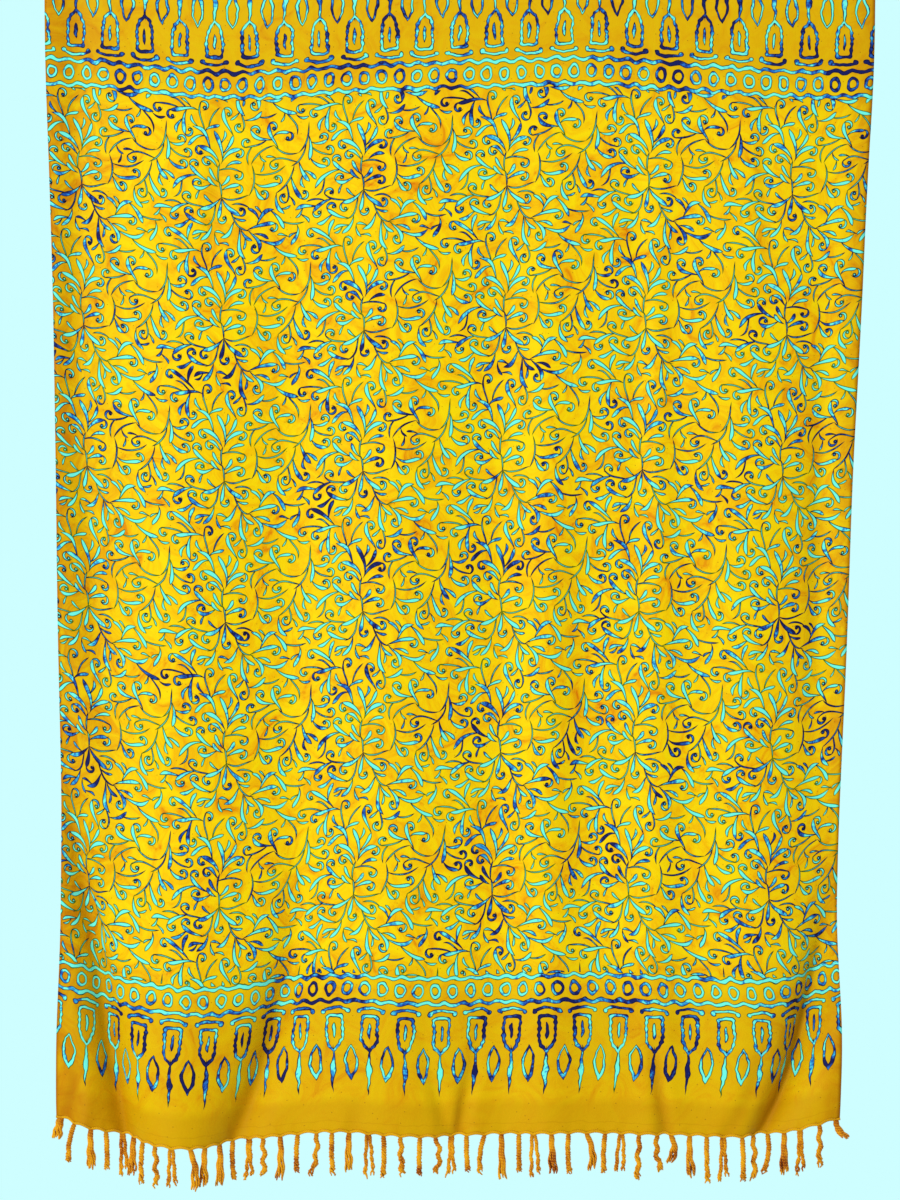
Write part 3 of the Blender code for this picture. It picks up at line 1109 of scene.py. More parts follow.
@dataclass(frozen=True)
class StampedVine:
    """The vine stamped over the cloth: each face is told the few strokes that cross it.

    A stroke is kept in three channels of an attribute beside two others, so that the
    material works out three strokes at a time.
    """

    repeat: VineRepeat
    width_mm: float = 1000.0 * CLOTH_WIDTH
    length_mm: float = 1000.0 * CLOTH_LENGTH
    first_x: float = 3.0
    first_y: float = 865.0
    uneven: float = 1.0
    seed: int = 3
    margin: float = 1.4
    strokes_kept: int = 6
    curls_kept: int = 3
    samples: int = 25
    far_away: float = -1000.0
    rows_below: int = 6
    rows_above: int = 6
    faces_beside: int = 2
    faces_above: int = 1

    def stamps(self) -> np.ndarray:
        """Place the stamp's prints, a little unevenly as by hand.

        Returns:
            The x and y of each.
        """
        source = random.Random(self.seed)
        repeat, places = self.repeat, []
        for column in range(-1, math.ceil(self.width_mm / repeat.wide) + 1):
            for row in range(-self.rows_below, self.rows_above):
                shift = [source.uniform(-self.uneven, self.uneven) for _ in range(2)]
                places.append((self.first_x + column * repeat.wide + shift[0],
                               self.first_y + row * repeat.tall + shift[1]))
        return np.array(places)

    def kept_in_faces(self, clouds: np.ndarray, columns: np.ndarray, rows: np.ndarray,
                      kept: int) -> np.ndarray:
        """Find which strokes cross each face of the cloth's grid.

        Args:
            clouds: x, y and half width of the points along each stroke.
            columns: the places of the grid's columns in millimetres.
            rows: the places of its rows, from the hem upwards.
            kept: how many strokes a face keeps, the nearest ones.

        Returns:
            For each face the numbers of its strokes, or -1.
        """
        home_x = np.searchsorted(columns, clouds[..., 0]) - 1
        home_y = np.searchsorted(rows, clouds[..., 1]) - 1
        stroke_numbers = np.broadcast_to(np.arange(len(clouds))[:, None], home_x.shape)
        found = []
        for step_x in range(-self.faces_beside, self.faces_beside + 1):
            for step_y in range(-self.faces_above, self.faces_above + 1):
                x, y = home_x + step_x, home_y + step_y
                inside = (x >= 0) & (x < len(columns) - 1) & (y >= 0) & (y < len(rows) - 1)
                x, y, cloud = x[inside], y[inside], clouds[inside]
                near_x = np.clip(cloud[:, 0], columns[x], columns[x + 1])
                near_y = np.clip(cloud[:, 1], rows[y], rows[y + 1])
                gap = np.hypot(near_x - cloud[:, 0], near_y - cloud[:, 1]) - cloud[:, 2]
                close = gap < self.margin
                face = y * (len(columns) - 1) + x
                found.append(np.stack([face[close], stroke_numbers[inside][close],
                                       gap[close]], axis=1))
        found = np.concatenate(found)
        # Keep each stroke once for a face, with its smallest gap
        found = found[np.lexsort((found[:, 2], found[:, 1], found[:, 0]))]
        _, first = np.unique(found[:, :2], axis=0, return_index=True)
        found = found[first]
        # Number the strokes of each face, the nearest first
        found = found[np.lexsort((found[:, 2], found[:, 0]))]
        faces, start = np.unique(found[:, 0], return_index=True)
        counts = np.diff(np.append(start, len(found)))
        place = np.arange(len(found)) - np.repeat(start, counts)
        table = np.full(((len(columns) - 1) * (len(rows) - 1), kept), -1)
        taken = place < kept
        table[found[taken, 0].astype(int), place[taken]] = found[taken, 1]
        return table

    def stroke_values(self, stroke: Stroke, offset: np.ndarray) -> dict:
        """Work out the numbers that the material needs to draw one stroke.

        Args:
            stroke: the stroke.
            offset: the place of the print that it is in.

        Returns:
            The numbers by their names in STROKE_PARTS.
        """
        middle = np.array(stroke.middle()) + offset
        way = np.array([math.cos(stroke.angle()), math.sin(stroke.angle())])
        along = way / stroke.reach()
        return {"along_x": along[0], "along_y": along[1], "along_start": -along @ middle,
                "across_x": -way[1], "across_y": way[0],
                "across_start": middle[0] * way[1] - middle[1] * way[0],
                "bend": stroke.bend, "twist": stroke.twist,
                "start": stroke.start, "half": float(stroke.half_at(0.0)) / stroke.start}

    def write(self, cloth: Object, cells: np.ndarray, table: np.ndarray, values: list,
              empty: dict, prefix: str) -> None:
        """Write what the faces keep as attributes, three strokes or curls in each.

        Args:
            cloth: the cloth.
            cells: for each of its faces, the face of the grid that it belongs to.
            table: for each face of the grid the numbers of what it keeps, or -1.
            values: the named numbers of each stroke or curl.
            empty: the named numbers that draw nothing.
            prefix: the first word of the attributes' names.
        """
        for name, nothing in empty.items():
            column = np.array([one[name] for one in values] + [nothing], dtype=np.float32)
            kept = column[table[cells]]
            for group in range(table.shape[1] // 3):
                attribute = cloth.data.attributes.new(f"{prefix}_{name}_{group}",
                                                      "FLOAT_VECTOR", "FACE")
                three = np.ascontiguousarray(kept[:, 3 * group:3 * group + 3])
                attribute.data.foreach_set("vector", three.ravel())

    def print_on(self, cloth: Object, columns: np.ndarray, rows: np.ndarray) -> int:
        """Print the vine on the cloth.

        Args:
            cloth: the cloth, with its UV map laid flat.
            columns: the shares of the width at which its columns stand.
            rows: the shares of the length at which its rows lie, from the hem upwards.

        Returns:
            How many strokes the repeat has.
        """
        repeat = self.repeat
        strokes = repeat.grow(HAND_STROKES, GROWTH_STAGES)
        places = self.stamps()
        along = np.linspace(-1.0, 1.0, self.samples)
        clouds, values, discs, curls = [], [], [], []
        for stroke in strokes:
            line = np.array([(*stroke.point(place), half)
                             for place, half in zip(along, stroke.half_at(along))])
            centres = repeat.curl_of(stroke) if stroke.hook else ()
            for offset in places:
                clouds.append(line + (*offset, 0.0))
                values.append(self.stroke_values(stroke, offset))
                if len(centres):
                    moved = centres + offset
                    discs.append([(*moved[0], repeat.curl_radius)])
                    curls.append(dict(zip(CURL_PARTS, moved.ravel())))
        columns, rows = columns * self.width_mm, rows * self.length_mm
        spots = np.empty(2 * len(cloth.data.loops), dtype=np.float32)
        cloth.data.uv_layers["UVMap"].data.foreach_get("uv", spots)
        spots = spots.reshape(-1, 4, 2).mean(axis=1) * (self.width_mm, self.length_mm)
        cell_x = np.clip(np.searchsorted(columns, spots[:, 0]) - 1, 0, len(columns) - 2)
        cell_y = np.clip(np.searchsorted(rows, spots[:, 1]) - 1, 0, len(rows) - 2)
        cells = cell_y * (len(columns) - 1) + cell_x
        table = self.kept_in_faces(np.array(clouds), columns, rows, self.strokes_kept)
        nothing = dict.fromkeys(STROKE_PARTS, 0.0)
        nothing["across_start"] = self.far_away
        self.write(cloth, cells, table, values, nothing, "stroke")
        table = self.kept_in_faces(np.array(discs), columns, rows, self.curls_kept)
        nothing = dict.fromkeys(CURL_PARTS, self.far_away)
        self.write(cloth, cells, table, curls, nothing, "curl")
        return len(strokes)


class Fade(NamedTuple):
    """A share that fades out: up to where it is full, from where it is gone, and its most."""

    start: float
    end: float
    most: float


def fading(tree: NodeTree, distance: NodeSocket, fade: Fade) -> NodeSocket:
    """Fade a share out with distance.

    Args:
        tree: the node tree.
        distance: socket with the distance.
        fade: where it fades, and from how much.

    Returns:
        The socket of the share.
    """
    wide = fade.end - fade.start
    share = add_node(tree, "Math.MULTIPLY_ADD", distance, -1.0 / wide, fade.end / wide,
                     use_clamp=True)
    return add_node(tree, "Math.MULTIPLY", share, fade.most)


def layered(tree: NodeTree, colour: NodeSocket | tuple, *layers: tuple) -> NodeSocket:
    """Lay tints over a colour, one after the other.

    Args:
        tree: the node tree.
        colour: the colour underneath, its socket or linear values.
        layers: for each tint the socket of its share, and its own socket or linear values.

    Returns:
        The colour socket.
    """
    for share, tint in layers:
        colour = add_node(tree, "Mix", share, named={UNDER: colour, OVER: tint}, output=MIXED,
                          data_type="RGBA")
    return colour


def band(tree: NodeTree, distance: NodeSocket, level: float, half: float) -> NodeSocket:
    """Draw a band where a distance has a given level.

    Args:
        tree: the node tree.
        distance: socket with the distance.
        level: the distance in the middle of the band.
        half: half the band's width.

    Returns:
        A socket that is negative inside.
    """
    line = add_node(tree, "Math.SUBTRACT", distance, level)
    line = add_node(tree, "Math.ABSOLUTE", line)
    return add_node(tree, "Math.SUBTRACT", line, half)


def hollow(tree: NodeTree, outer: NodeSocket, inner: NodeSocket) -> NodeSocket:
    """Cut one shape out of another."""
    inner = add_node(tree, "Math.MULTIPLY", inner, -1.0)
    return add_node(tree, "Math.MAXIMUM", outer, inner)


def joined(tree: NodeTree, *edges: NodeSocket) -> NodeSocket:
    """Join shapes that are negative inside.

    Args:
        tree: the node tree.
        edges: the shapes' sockets.

    Returns:
        A socket that is negative inside any of them.
    """
    nearest = edges[0]
    for edge in edges[1:]:
        nearest = add_node(tree, "Math.MINIMUM", nearest, edge)
    return nearest


class Lens(NamedTuple):
    """A lens along the cloth: where its middle is, half its length and half its width."""

    middle: float
    half_long: float
    half_wide: float
    blunt: bool = False


class Rim(NamedTuple):
    """The flat top of a bell: its level, and how softly it is rounded into the walls."""

    level: float
    softness: float


@dataclass(frozen=True)
class BorderStamp:
    """The stamped border of each end: a row of rings, and a row of bells and almonds.

    Sizes are in millimetres, and levels and middles are distances from the end of the cloth.
    """

    ring_level: float = 202.5
    ring_pitch: float = 24.2
    ring_phase: float = 11.2
    ring_radius: float = 8.1
    ring_half: float = 2.65
    ring_tallness: float = 1.30
    line_gap: float = 17.2
    line_half: float = 3.1
    line_wave: float = 1.7
    bell_pitch: float = 48.4
    bell_phase: float = 45.5
    bell: Lens = Lens(150.0, 36.5, 13.1, blunt=True)
    bell_rim: Rim = Rim(167.5, 7.0)
    inside: Lens = Lens(150.0, 31.0, 8.3, blunt=True)
    inside_rim: Rim = Rim(162.5, 5.0)
    bead_turn: float = 0.76
    bead_height: float = 0.5
    slit: Lens = Lens(144.5, 12.0, 2.4, blunt=True)
    spear: Lens = Lens(89.0, 15.5, 4.2)
    stem: Lens = Lens(90.0, 34.0, 2.9)
    bow_level: float = 176.0
    bow_curve: float = 0.012
    bow_half: float = 2.4
    bow_reach: float = 16.5
    bow_end: tuple = (16.6, 171.5, 0.0)
    bow_ball: float = 3.8
    almond: Lens = Lens(100.0, 26.0, 9.8)
    kernel: Lens = Lens(102.2, 18.2, 5.3)

    def aside(self, tree: NodeTree, across: NodeSocket, phase: float,
              pitch: float) -> NodeSocket:
        """Measure the distance from the middle of the nearest print in a row."""
        aside = add_node(tree, "Math.SUBTRACT", across, phase)
        return add_node(tree, "Math.WRAP", aside, 0.5 * pitch, -0.5 * pitch)

    def lens_edge(self, tree: NodeTree, aside: NodeSocket,
                  depth: NodeSocket, lens: Lens) -> NodeSocket:
        """Draw a lens that points along the cloth.

        Args:
            tree: the node tree.
            aside: socket with the distance from the lens's middle line.
            depth: socket with the distance from the end of the cloth.
            lens: the lens.

        Returns:
            A socket that is negative inside.
        """
        along = add_node(tree, "Math.MULTIPLY_ADD", depth, 1.0 / lens.half_long,
                         -lens.middle / lens.half_long)
        if lens.blunt:
            along = add_node(tree, "Math.MULTIPLY", along, along)
        edge = add_node(tree, "Math.MULTIPLY_ADD", along, along, -1.0)
        return add_node(tree, "Math.MULTIPLY_ADD", edge, lens.half_wide, aside)

    def ring_row(self, tree: NodeTree, across: NodeSocket,
                 depth: NodeSocket) -> NodeSocket:
        """Draw the row of rings between its two scalloped lines.

        Args:
            tree: the node tree.
            across: socket with the distance from the left edge.
            depth: socket with the distance from the nearer end.

        Returns:
            A socket that is negative inside.
        """
        aside = self.aside(tree, across, self.ring_phase, self.ring_pitch)
        lift = add_node(tree, "Math.SUBTRACT", depth, self.ring_level)
        wide = add_node(tree, "Math.MULTIPLY", aside, self.ring_tallness)
        spot = add_node(tree, "CombineXYZ", wide, lift)
        round_about = add_node(tree, "VectorMath.LENGTH", spot, output="Value")
        ring = band(tree, round_about, self.ring_radius, self.ring_half)
        wave = add_node(tree, "Math.MULTIPLY", aside, 2.0 * math.pi / self.ring_pitch)
        wave = add_node(tree, "Math.COSINE", wave)
        away = add_node(tree, "Math.ABSOLUTE", lift)
        away = add_node(tree, "Math.MULTIPLY_ADD", wave, -self.line_wave, away)
        return joined(tree, ring, band(tree, away, self.line_gap, self.line_half))

    def bell_row(self, tree: NodeTree, across: NodeSocket,
                 depth: NodeSocket) -> NodeSocket:
        """Draw the row of bells with their slits, stems, spears and bows, and the almonds.

        Args:
            tree: the node tree.
            across: socket with the distance from the left edge.
            depth: socket with the distance from the nearer end.

        Returns:
            A socket that is negative inside.
        """
        aside = self.aside(tree, across, self.bell_phase, self.bell_pitch)
        aside = add_node(tree, "Math.ABSOLUTE", aside)
        beads = add_node(tree, "Math.MULTIPLY", depth, self.bead_turn)
        beads = add_node(tree, "Math.SINE", beads)
        walls = []
        for lens, rim, height in ((self.bell, self.bell_rim, self.bead_height),
                                  (self.inside, self.inside_rim, -self.bead_height)):
            beaded = add_node(tree, "Math.MULTIPLY_ADD", beads, height, aside)
            wall = self.lens_edge(tree, beaded, depth, lens)
            top = add_node(tree, "Math.SUBTRACT", depth, rim.level)
            walls.append(add_node(tree, "Math.SMOOTH_MAX", wall, top, rim.softness))
        shapes = [hollow(tree, *walls)]
        for lens in (self.slit, self.spear, self.stem):
            shapes.append(self.lens_edge(tree, aside, depth, lens))
        bow = add_node(tree, "Math.MULTIPLY", aside, aside)
        bow = add_node(tree, "Math.MULTIPLY_ADD", bow, self.bow_curve, depth)
        bow = band(tree, bow, self.bow_level, self.bow_half)
        past_end = add_node(tree, "Math.SUBTRACT", aside, self.bow_reach)
        shapes.append(add_node(tree, "Math.MAXIMUM", bow, past_end))
        spot = add_node(tree, "CombineXYZ", aside, depth)
        ball = add_node(tree, "VectorMath.DISTANCE", spot, self.bow_end, output="Value")
        shapes.append(add_node(tree, "Math.SUBTRACT", ball, self.bow_ball))
        between = add_node(tree, "Math.SUBTRACT", 0.5 * self.bell_pitch, aside)
        almond = self.lens_edge(tree, between, depth, self.almond)
        kernel = self.lens_edge(tree, between, depth, self.kernel)
        return joined(tree, *shapes, hollow(tree, almond, kernel))


@dataclass(frozen=True)
class BatikDye:
    """Rayon stamped by hand with wax and dyed: soft, slightly uneven and nearly matt.

    The wax leaves thin dark outlines, and the dye runs from turquoise to navy inside them.
    Yarns 0.25 mm apart would not show, so the slubs are drawn 1.3 mm wide.
    """

    vine: StampedVine
    border: BorderStamp = BorderStamp()
    name: str = "stamped_rayon_batik"
    roughness: float = 0.60
    sheen: float = 0.01
    lemon: str = "#EFD300"
    yellow: str = "#EEC500"
    golden: str = "#E8AE00"
    orange: str = "#D47600"
    mustard: str = "#C49500"
    seam_shade: str = "#9A6400"
    # Painted shade towards the side edges
    painted_edge_shade: str = "#B87400"
    # Painted shade along the creases
    painted_crease_shade: str = "#9C5600"
    dark_side_edge: str = "#B06A00"
    speck: str = "#5A1E10"
    turquoise: str = "#6CF0E2"
    sky: str = "#34A6DE"
    blue: str = "#225ABC"
    navy: str = "#151B5C"
    olive: str = "#3D6610"
    ink: str = "#0A0D2C"
    outline_mm: float = 1.15
    edge_sharpness: float = 3.0
    drift_mm: float = 3.0
    drift_patch_mm: float = 40.0
    worn_mm: float = 5.0
    worn_patch_mm: float = 15.0
    cloud_mm: float = 50.0
    dye_patch_mm: float = 85.0
    rumple_mm: float = 26.0
    speck_pitch_mm: float = 27.0
    slubs: tuple = (900.0, 170.0, 0.0)
    vine_start_mm: float = 221.0
    hem_seam_mm: float = 17.5
    seam_mm: float = 1.0
    left_painted_shade_mm: float = 115.0
    right_painted_shade_mm: float = 36.0
    thinnest_start: float = 0.15
    painted_crease_share: float = 0.60
    rumple_height: float = 9.0
    plain_end: Fade = Fade(40.5, 85.5, 0.88)
    border_tone: Fade = Fade(176.0, 256.0, 0.60)
    border_dye: Fade = Fade(180.0, 240.0, 0.07)
    seam_line: Fade = Fade(-0.5, 0.5, 0.22)
    dark_side_edge_line: Fade = Fade(1.0, 13.0 / 3.0, 0.75)
    painted_side_shade: Fade = Fade(0.0, 1.0, 1.3)
    speck_spot: Fade = Fade(0.0, 1.0 / 30.0, 1.0)

    def three_strokes(self, tree: NodeTree, x: NodeSocket,
                      y: NodeSocket, group: int) -> NodeSocket:
        """Draw three of the strokes that a face keeps, in the channels of a vector.

        Args:
            tree: the node tree.
            x: the distance from the left edge in all three channels.
            y: the distance from the hem in all three channels.
            group: which three strokes.

        Returns:
            A socket that is negative inside the strokes.
        """
        part = {name: add_node(tree, "Attribute", attribute_name=f"stroke_{name}_{group}",
                               output="Vector") for name in STROKE_PARTS}
        along, across = part["along_start"], part["across_start"]
        for place, way in ((x, "x"), (y, "y")):
            along = add_node(tree, "VectorMath.MULTIPLY_ADD", place, part["along_" + way], along)
            across = add_node(tree, "VectorMath.MULTIPLY_ADD", place, part["across_" + way],
                              across)
        lens = add_node(tree, "VectorMath.MULTIPLY_ADD", along, along, (-1.0, -1.0, -1.0))
        bend = add_node(tree, "VectorMath.MULTIPLY_ADD", along, part["twist"], part["bend"])
        across = add_node(tree, "VectorMath.MULTIPLY_ADD", lens, bend, across)
        across = add_node(tree, "VectorMath.ABSOLUTE", across)
        swell = add_node(tree, "VectorMath.ADD", along, part["start"])
        swell = add_node(tree, "VectorMath.MAXIMUM", swell, (self.thinnest_start,) * 3)
        blunt = add_node(tree, "VectorMath.MULTIPLY_ADD", along, along, (1.0, 1.0, 1.0))
        lens = add_node(tree, "VectorMath.MULTIPLY", lens, blunt)
        lens = add_node(tree, "VectorMath.MULTIPLY", lens, swell)
        return add_node(tree, "VectorMath.MULTIPLY_ADD", lens, part["half"], across)

    def three_discs(self, tree: NodeTree, x: NodeSocket,
                    y: NodeSocket, part: str, radius: float,
                    sign: float) -> NodeSocket:
        """Draw one part of the three curls that a face keeps.

        Args:
            tree: the node tree.
            x: the distance from the left edge in all three channels.
            y: the distance from the hem in all three channels.
            part: disc, hole or ball.
            radius: its radius.
            sign: 1 for the inside of the discs, -1 for what lies outside them.

        Returns:
            A socket that is negative inside, and grows by about 1 for each millimetre.
        """
        centre_x, centre_y = (add_node(tree, "Attribute", attribute_name=f"curl_{part}_{way}_0",
                                       output="Vector") for way in "xy")
        away_x = add_node(tree, "VectorMath.SUBTRACT", x, centre_x)
        away_y = add_node(tree, "VectorMath.SUBTRACT", y, centre_y)
        square = add_node(tree, "VectorMath.MULTIPLY", away_x, away_x)
        square = add_node(tree, "VectorMath.MULTIPLY_ADD", away_y, away_y, square)
        share, rest = sign / (2.0 * radius), -0.5 * sign * radius
        return add_node(tree, "VectorMath.MULTIPLY_ADD", square, (share,) * 3, (rest,) * 3)

    def vine_edge(self, tree: NodeTree, across: NodeSocket,
                  up: NodeSocket) -> NodeSocket:
        """Draw the strokes and curls of the vine that each face keeps.

        Args:
            tree: the node tree.
            across: socket with the distance from the left edge in millimetres.
            up: socket with the distance from the hem in millimetres.

        Returns:
            A socket that is negative inside the strokes.
        """
        repeat = self.vine.repeat
        x = add_node(tree, "CombineXYZ", across, across, across)
        y = add_node(tree, "CombineXYZ", up, up, up)
        radius = repeat.curl_radius
        disc = self.three_discs(tree, x, y, "disc", radius, 1.0)
        hole = self.three_discs(tree, x, y, "hole", repeat.hole_size * radius, -1.0)
        nearest = add_node(tree, "VectorMath.MAXIMUM", disc, hole)
        ball = self.three_discs(tree, x, y, "ball", repeat.ball_size * radius, 1.0)
        nearest = add_node(tree, "VectorMath.MINIMUM", nearest, ball)
        for group in range(self.vine.strokes_kept // 3):
            strokes = self.three_strokes(tree, x, y, group)
            nearest = add_node(tree, "VectorMath.MINIMUM", nearest, strokes)
        return joined(tree, *add_node(tree, "SeparateXYZ", nearest).node.outputs)

    def print_edge(self, tree: NodeTree, flat: NodeSocket) -> tuple:
        """Draw all that is stamped: the vine, the rings and the bells.

        Args:
            tree: the node tree.
            flat: socket with the place on the flat cloth in millimetres.

        Returns:
            A socket that is negative inside the print, and one with the distance from the
            nearer end of the cloth, wavering as the print does.
        """
        drift = add_node(tree, "TexNoise", named={"Vector": flat, "Detail": 2.0,
                                                  "Scale": 1.0 / self.drift_patch_mm,
                                                  "Roughness": 0.42},
                         noise_dimensions="2D", output="Color")
        back = -0.5 * self.drift_mm
        moved = add_node(tree, "VectorMath.ADD", flat, (back, back, 0.0))
        moved = add_node(tree, "VectorMath.MULTIPLY_ADD", drift, (self.drift_mm,) * 3, moved)
        split = add_node(tree, "SeparateXYZ", moved).node.outputs
        across, up = split[0], split[1]
        down = add_node(tree, "Math.SUBTRACT", self.vine.length_mm, up)
        depth = add_node(tree, "Math.MINIMUM", up, down)
        vine = self.vine_edge(tree, across, up)
        clear = add_node(tree, "Math.SUBTRACT", self.vine_start_mm, depth)
        vine = add_node(tree, "Math.MAXIMUM", vine, clear)
        worn = add_node(tree, "TexNoise", named={"Vector": flat, "Detail": 1.0,
                                                 "Scale": 1.0 / self.worn_patch_mm},
                        noise_dimensions="2D", output="Color")
        worn = add_node(tree, "SeparateXYZ", worn).node.outputs
        across = add_node(tree, "Math.MULTIPLY_ADD", worn[0], self.worn_mm, across)
        depth = add_node(tree, "Math.MULTIPLY_ADD", worn[1], self.worn_mm, depth)
        rings = self.border.ring_row(tree, across, depth)
        bells = self.border.bell_row(tree, across, depth)
        return joined(tree, vine, rings, bells), depth

    def ground(self, tree: NodeTree, flat: NodeSocket,
               depth: NodeSocket) -> NodeSocket:
        """Draw the marbled yellow ground, mustard at the ends, with painted shade along the sides
        and in creases.

        Args:
            tree: the node tree.
            flat: socket with the place on the flat cloth in millimetres.
            depth: socket with the distance from the nearer end.

        Returns:
            The colour socket.
        """
        clouds = add_node(tree, "TexNoise", named={"Vector": flat, "Scale": 1.0 / self.cloud_mm,
                                                   "Detail": 6.0, "Roughness": 0.68,
                                                   "Distortion": 1.3}, noise_dimensions="2D")
        stops = ((0.36, self.lemon), (0.50, self.yellow), (0.63, self.golden),
                 (0.75, self.orange))
        colour = add_node(tree, "ValToRGB", clouds, stops=stops)
        plain = fading(tree, depth, self.plain_end)
        bordered = fading(tree, depth, self.border_tone)
        plain = add_node(tree, "Math.MAXIMUM", plain, bordered)
        seam = band(tree, depth, self.hem_seam_mm, 0.5 * self.seam_mm)
        seam = fading(tree, seam, self.seam_line)
        left = add_node(tree, "SeparateXYZ", flat)
        right = add_node(tree, "Math.SUBTRACT", self.vine.width_mm, left)
        # A thin darker line along both side edges
        dark_side_edge = add_node(tree, "Math.MINIMUM", left, right)
        dark_side_edge = fading(tree, dark_side_edge, self.dark_side_edge_line)
        # Painted shade: darker towards the side edges, farther in on the left than on the right,
        # patchy with the clouds
        left = add_node(tree, "Math.MULTIPLY", left, 1.0 / self.left_painted_shade_mm)
        right = add_node(tree, "Math.MULTIPLY", right, 1.0 / self.right_painted_shade_mm)
        beside = add_node(tree, "Math.MINIMUM", left, right)
        beside = fading(tree, beside, self.painted_side_shade)
        beside = add_node(tree, "Math.MULTIPLY", beside, clouds)
        # Painted shade along the creases, by the cloth's creased attribute
        creased = add_node(tree, "Attribute", attribute_name="creased", output="Fac")
        creased = add_node(tree, "Math.MULTIPLY", creased, self.painted_crease_share, use_clamp=True)
        specks = add_node(tree, "TexVoronoi", named={"Vector": flat,
                                                     "Scale": 1.0 / self.speck_pitch_mm},
                          voronoi_dimensions="2D", output="Distance")
        specks = fading(tree, specks, self.speck_spot)
        return layered(tree, colour, (plain, linear(self.mustard)),
                       (seam, linear(self.seam_shade)), (beside, linear(self.painted_edge_shade)),
                       (creased, linear(self.painted_crease_shade)), (dark_side_edge, linear(self.dark_side_edge)),
                       (specks, linear(self.speck)))

    def material(self) -> Material:
        """Make the dyed cloth.

        Returns:
            The material.
        """
        material, tree, shader = new_material(self.name, self.roughness, self.sheen)
        laid = add_node(tree, "UVMap", uv_map="UVMap")
        size = (self.vine.width_mm, self.vine.length_mm, 0.0)
        flat = add_node(tree, "VectorMath.MULTIPLY", laid, size)
        edge, depth = self.print_edge(tree, flat)
        colour = self.ground(tree, flat, depth)
        patches = add_node(tree, "TexNoise", named={"Vector": flat, "Detail": 5.0,
                                                    "Scale": 1.0 / self.dye_patch_mm,
                                                    "Roughness": 0.76, "Distortion": 0.3},
                           noise_dimensions="2D")
        patches = add_node(tree, "Math.ADD", patches, fading(tree, depth, self.border_dye))
        stops = ((0.44, self.turquoise), (0.525, self.turquoise), (0.565, self.sky),
                 (0.605, self.blue), (0.66, self.navy))
        dye = add_node(tree, "ValToRGB", patches, stops=stops)
        stops = ((0.45, self.olive), (0.515, self.ink))
        outline = add_node(tree, "ValToRGB", patches, stops=stops)
        for inset, tint in ((0.0, outline), (self.outline_mm, dye)):
            inside = add_node(tree, "Math.MULTIPLY_ADD", edge, -self.edge_sharpness,
                              0.5 - inset * self.edge_sharpness, use_clamp=True)
            colour = layered(tree, colour, (inside, tint))
        tree.links.new(colour, shader.inputs["Base Color"])
        slub = add_node(tree, "VectorMath.MULTIPLY", laid, self.slubs)
        slub = add_node(tree, "TexNoise", named={"Vector": slub, "Scale": 1.0, "Detail": 2.0},
                        noise_dimensions="2D")
        rumple = add_node(tree, "TexNoise", named={"Vector": flat, "Detail": 3.0,
                                                   "Scale": 1.0 / self.rumple_mm},
                          noise_dimensions="2D")
        height = add_node(tree, "Math.MULTIPLY_ADD", rumple, self.rumple_height, slub)
        bump = add_node(tree, "Bump", named={"Strength": 0.55, "Distance": 0.18 * MM,
                                             "Height": height})
        tree.links.new(bump, shader.inputs["Normal"])
        return material


@dataclass(frozen=True)
class TwistedCord:
    """Rayon yarns twisted into cords: silky ochre strands with painted shade where the plies meet.

    A ply shows as slanting ridges about 2 mm apart, drawn coarser than the real 0.6 mm, with
    painted highlight on their crests.
    """

    name: str = "twisted_rayon_cord"
    roughness: float = 0.62
    sheen: float = 0.12
    # The red-brown is the cords' own darker tone, and also the painted shade in the grooves and at
    # the roots
    red_brown: str = "#8A3A04"
    ochre: str = "#CC7E08"
    golden: str = "#E8A812"
    edge: str = "#D9A800"
    painted_root_shade: Fade = Fade(0.0, 1.1, 0.55)
    patch_mm: float = 22.0
    ridges_around: float = 2.0
    ridges_along: float = 2.5
    painted_ply_shading: float = 0.09
    edge_share: float = 0.75

    def material(self) -> Material:
        """Make the cord.

        Returns:
            The material.
        """
        material, tree, shader = new_material(self.name, self.roughness, self.sheen)
        place = add_node(tree, "TexCoord", output="Object")
        patches = add_node(tree, "TexNoise", named={"Vector": place, "Detail": 3.0,
                                                    "Scale": 1.0 / (self.patch_mm * MM)})
        laid = add_node(tree, "UVMap", uv_map="UVMap")
        turns = (2.0 * math.pi * self.ridges_around, 2.0 * math.pi * self.ridges_along, 0.0)
        ridge = add_node(tree, "VectorMath.DOT_PRODUCT", laid, turns, output="Value")
        ridge = add_node(tree, "Math.SINE", ridge)
        # The ridges shift the colour: painted shade in the grooves between the plies, painted
        # highlight on their crests
        shade = add_node(tree, "Math.MULTIPLY_ADD", ridge, self.painted_ply_shading, patches)
        stops = ((0.28, self.red_brown), (0.43, self.ochre), (0.60, self.golden))
        colour = add_node(tree, "ValToRGB", shade, stops=stops)
        # Painted shade where the tassels come out of the cord, over their first 1.1 cm
        below_root = add_node(tree, "SeparateXYZ", laid, output="Y")
        root_shade_share = fading(tree, below_root, self.painted_root_shade)
        edging = add_node(tree, "Attribute", attribute_name="edging", output="Fac")
        edging = add_node(tree, "Math.MULTIPLY", edging, self.edge_share)
        colour = layered(tree, colour, (root_shade_share, linear(self.red_brown)),
                         (edging, linear(self.edge)))
        tree.links.new(colour, shader.inputs["Base Color"])
        bump = add_node(tree, "Bump", named={"Strength": 0.6, "Distance": 0.3 * MM,
                                             "Height": ridge})
        tree.links.new(bump, shader.inputs["Normal"])
        return material


class Lamp(NamedTuple):
    """A square area light: its place, its power in watts, its side and its colour."""

    name: str
    place: tuple
    power: float
    side: float
    colour: str


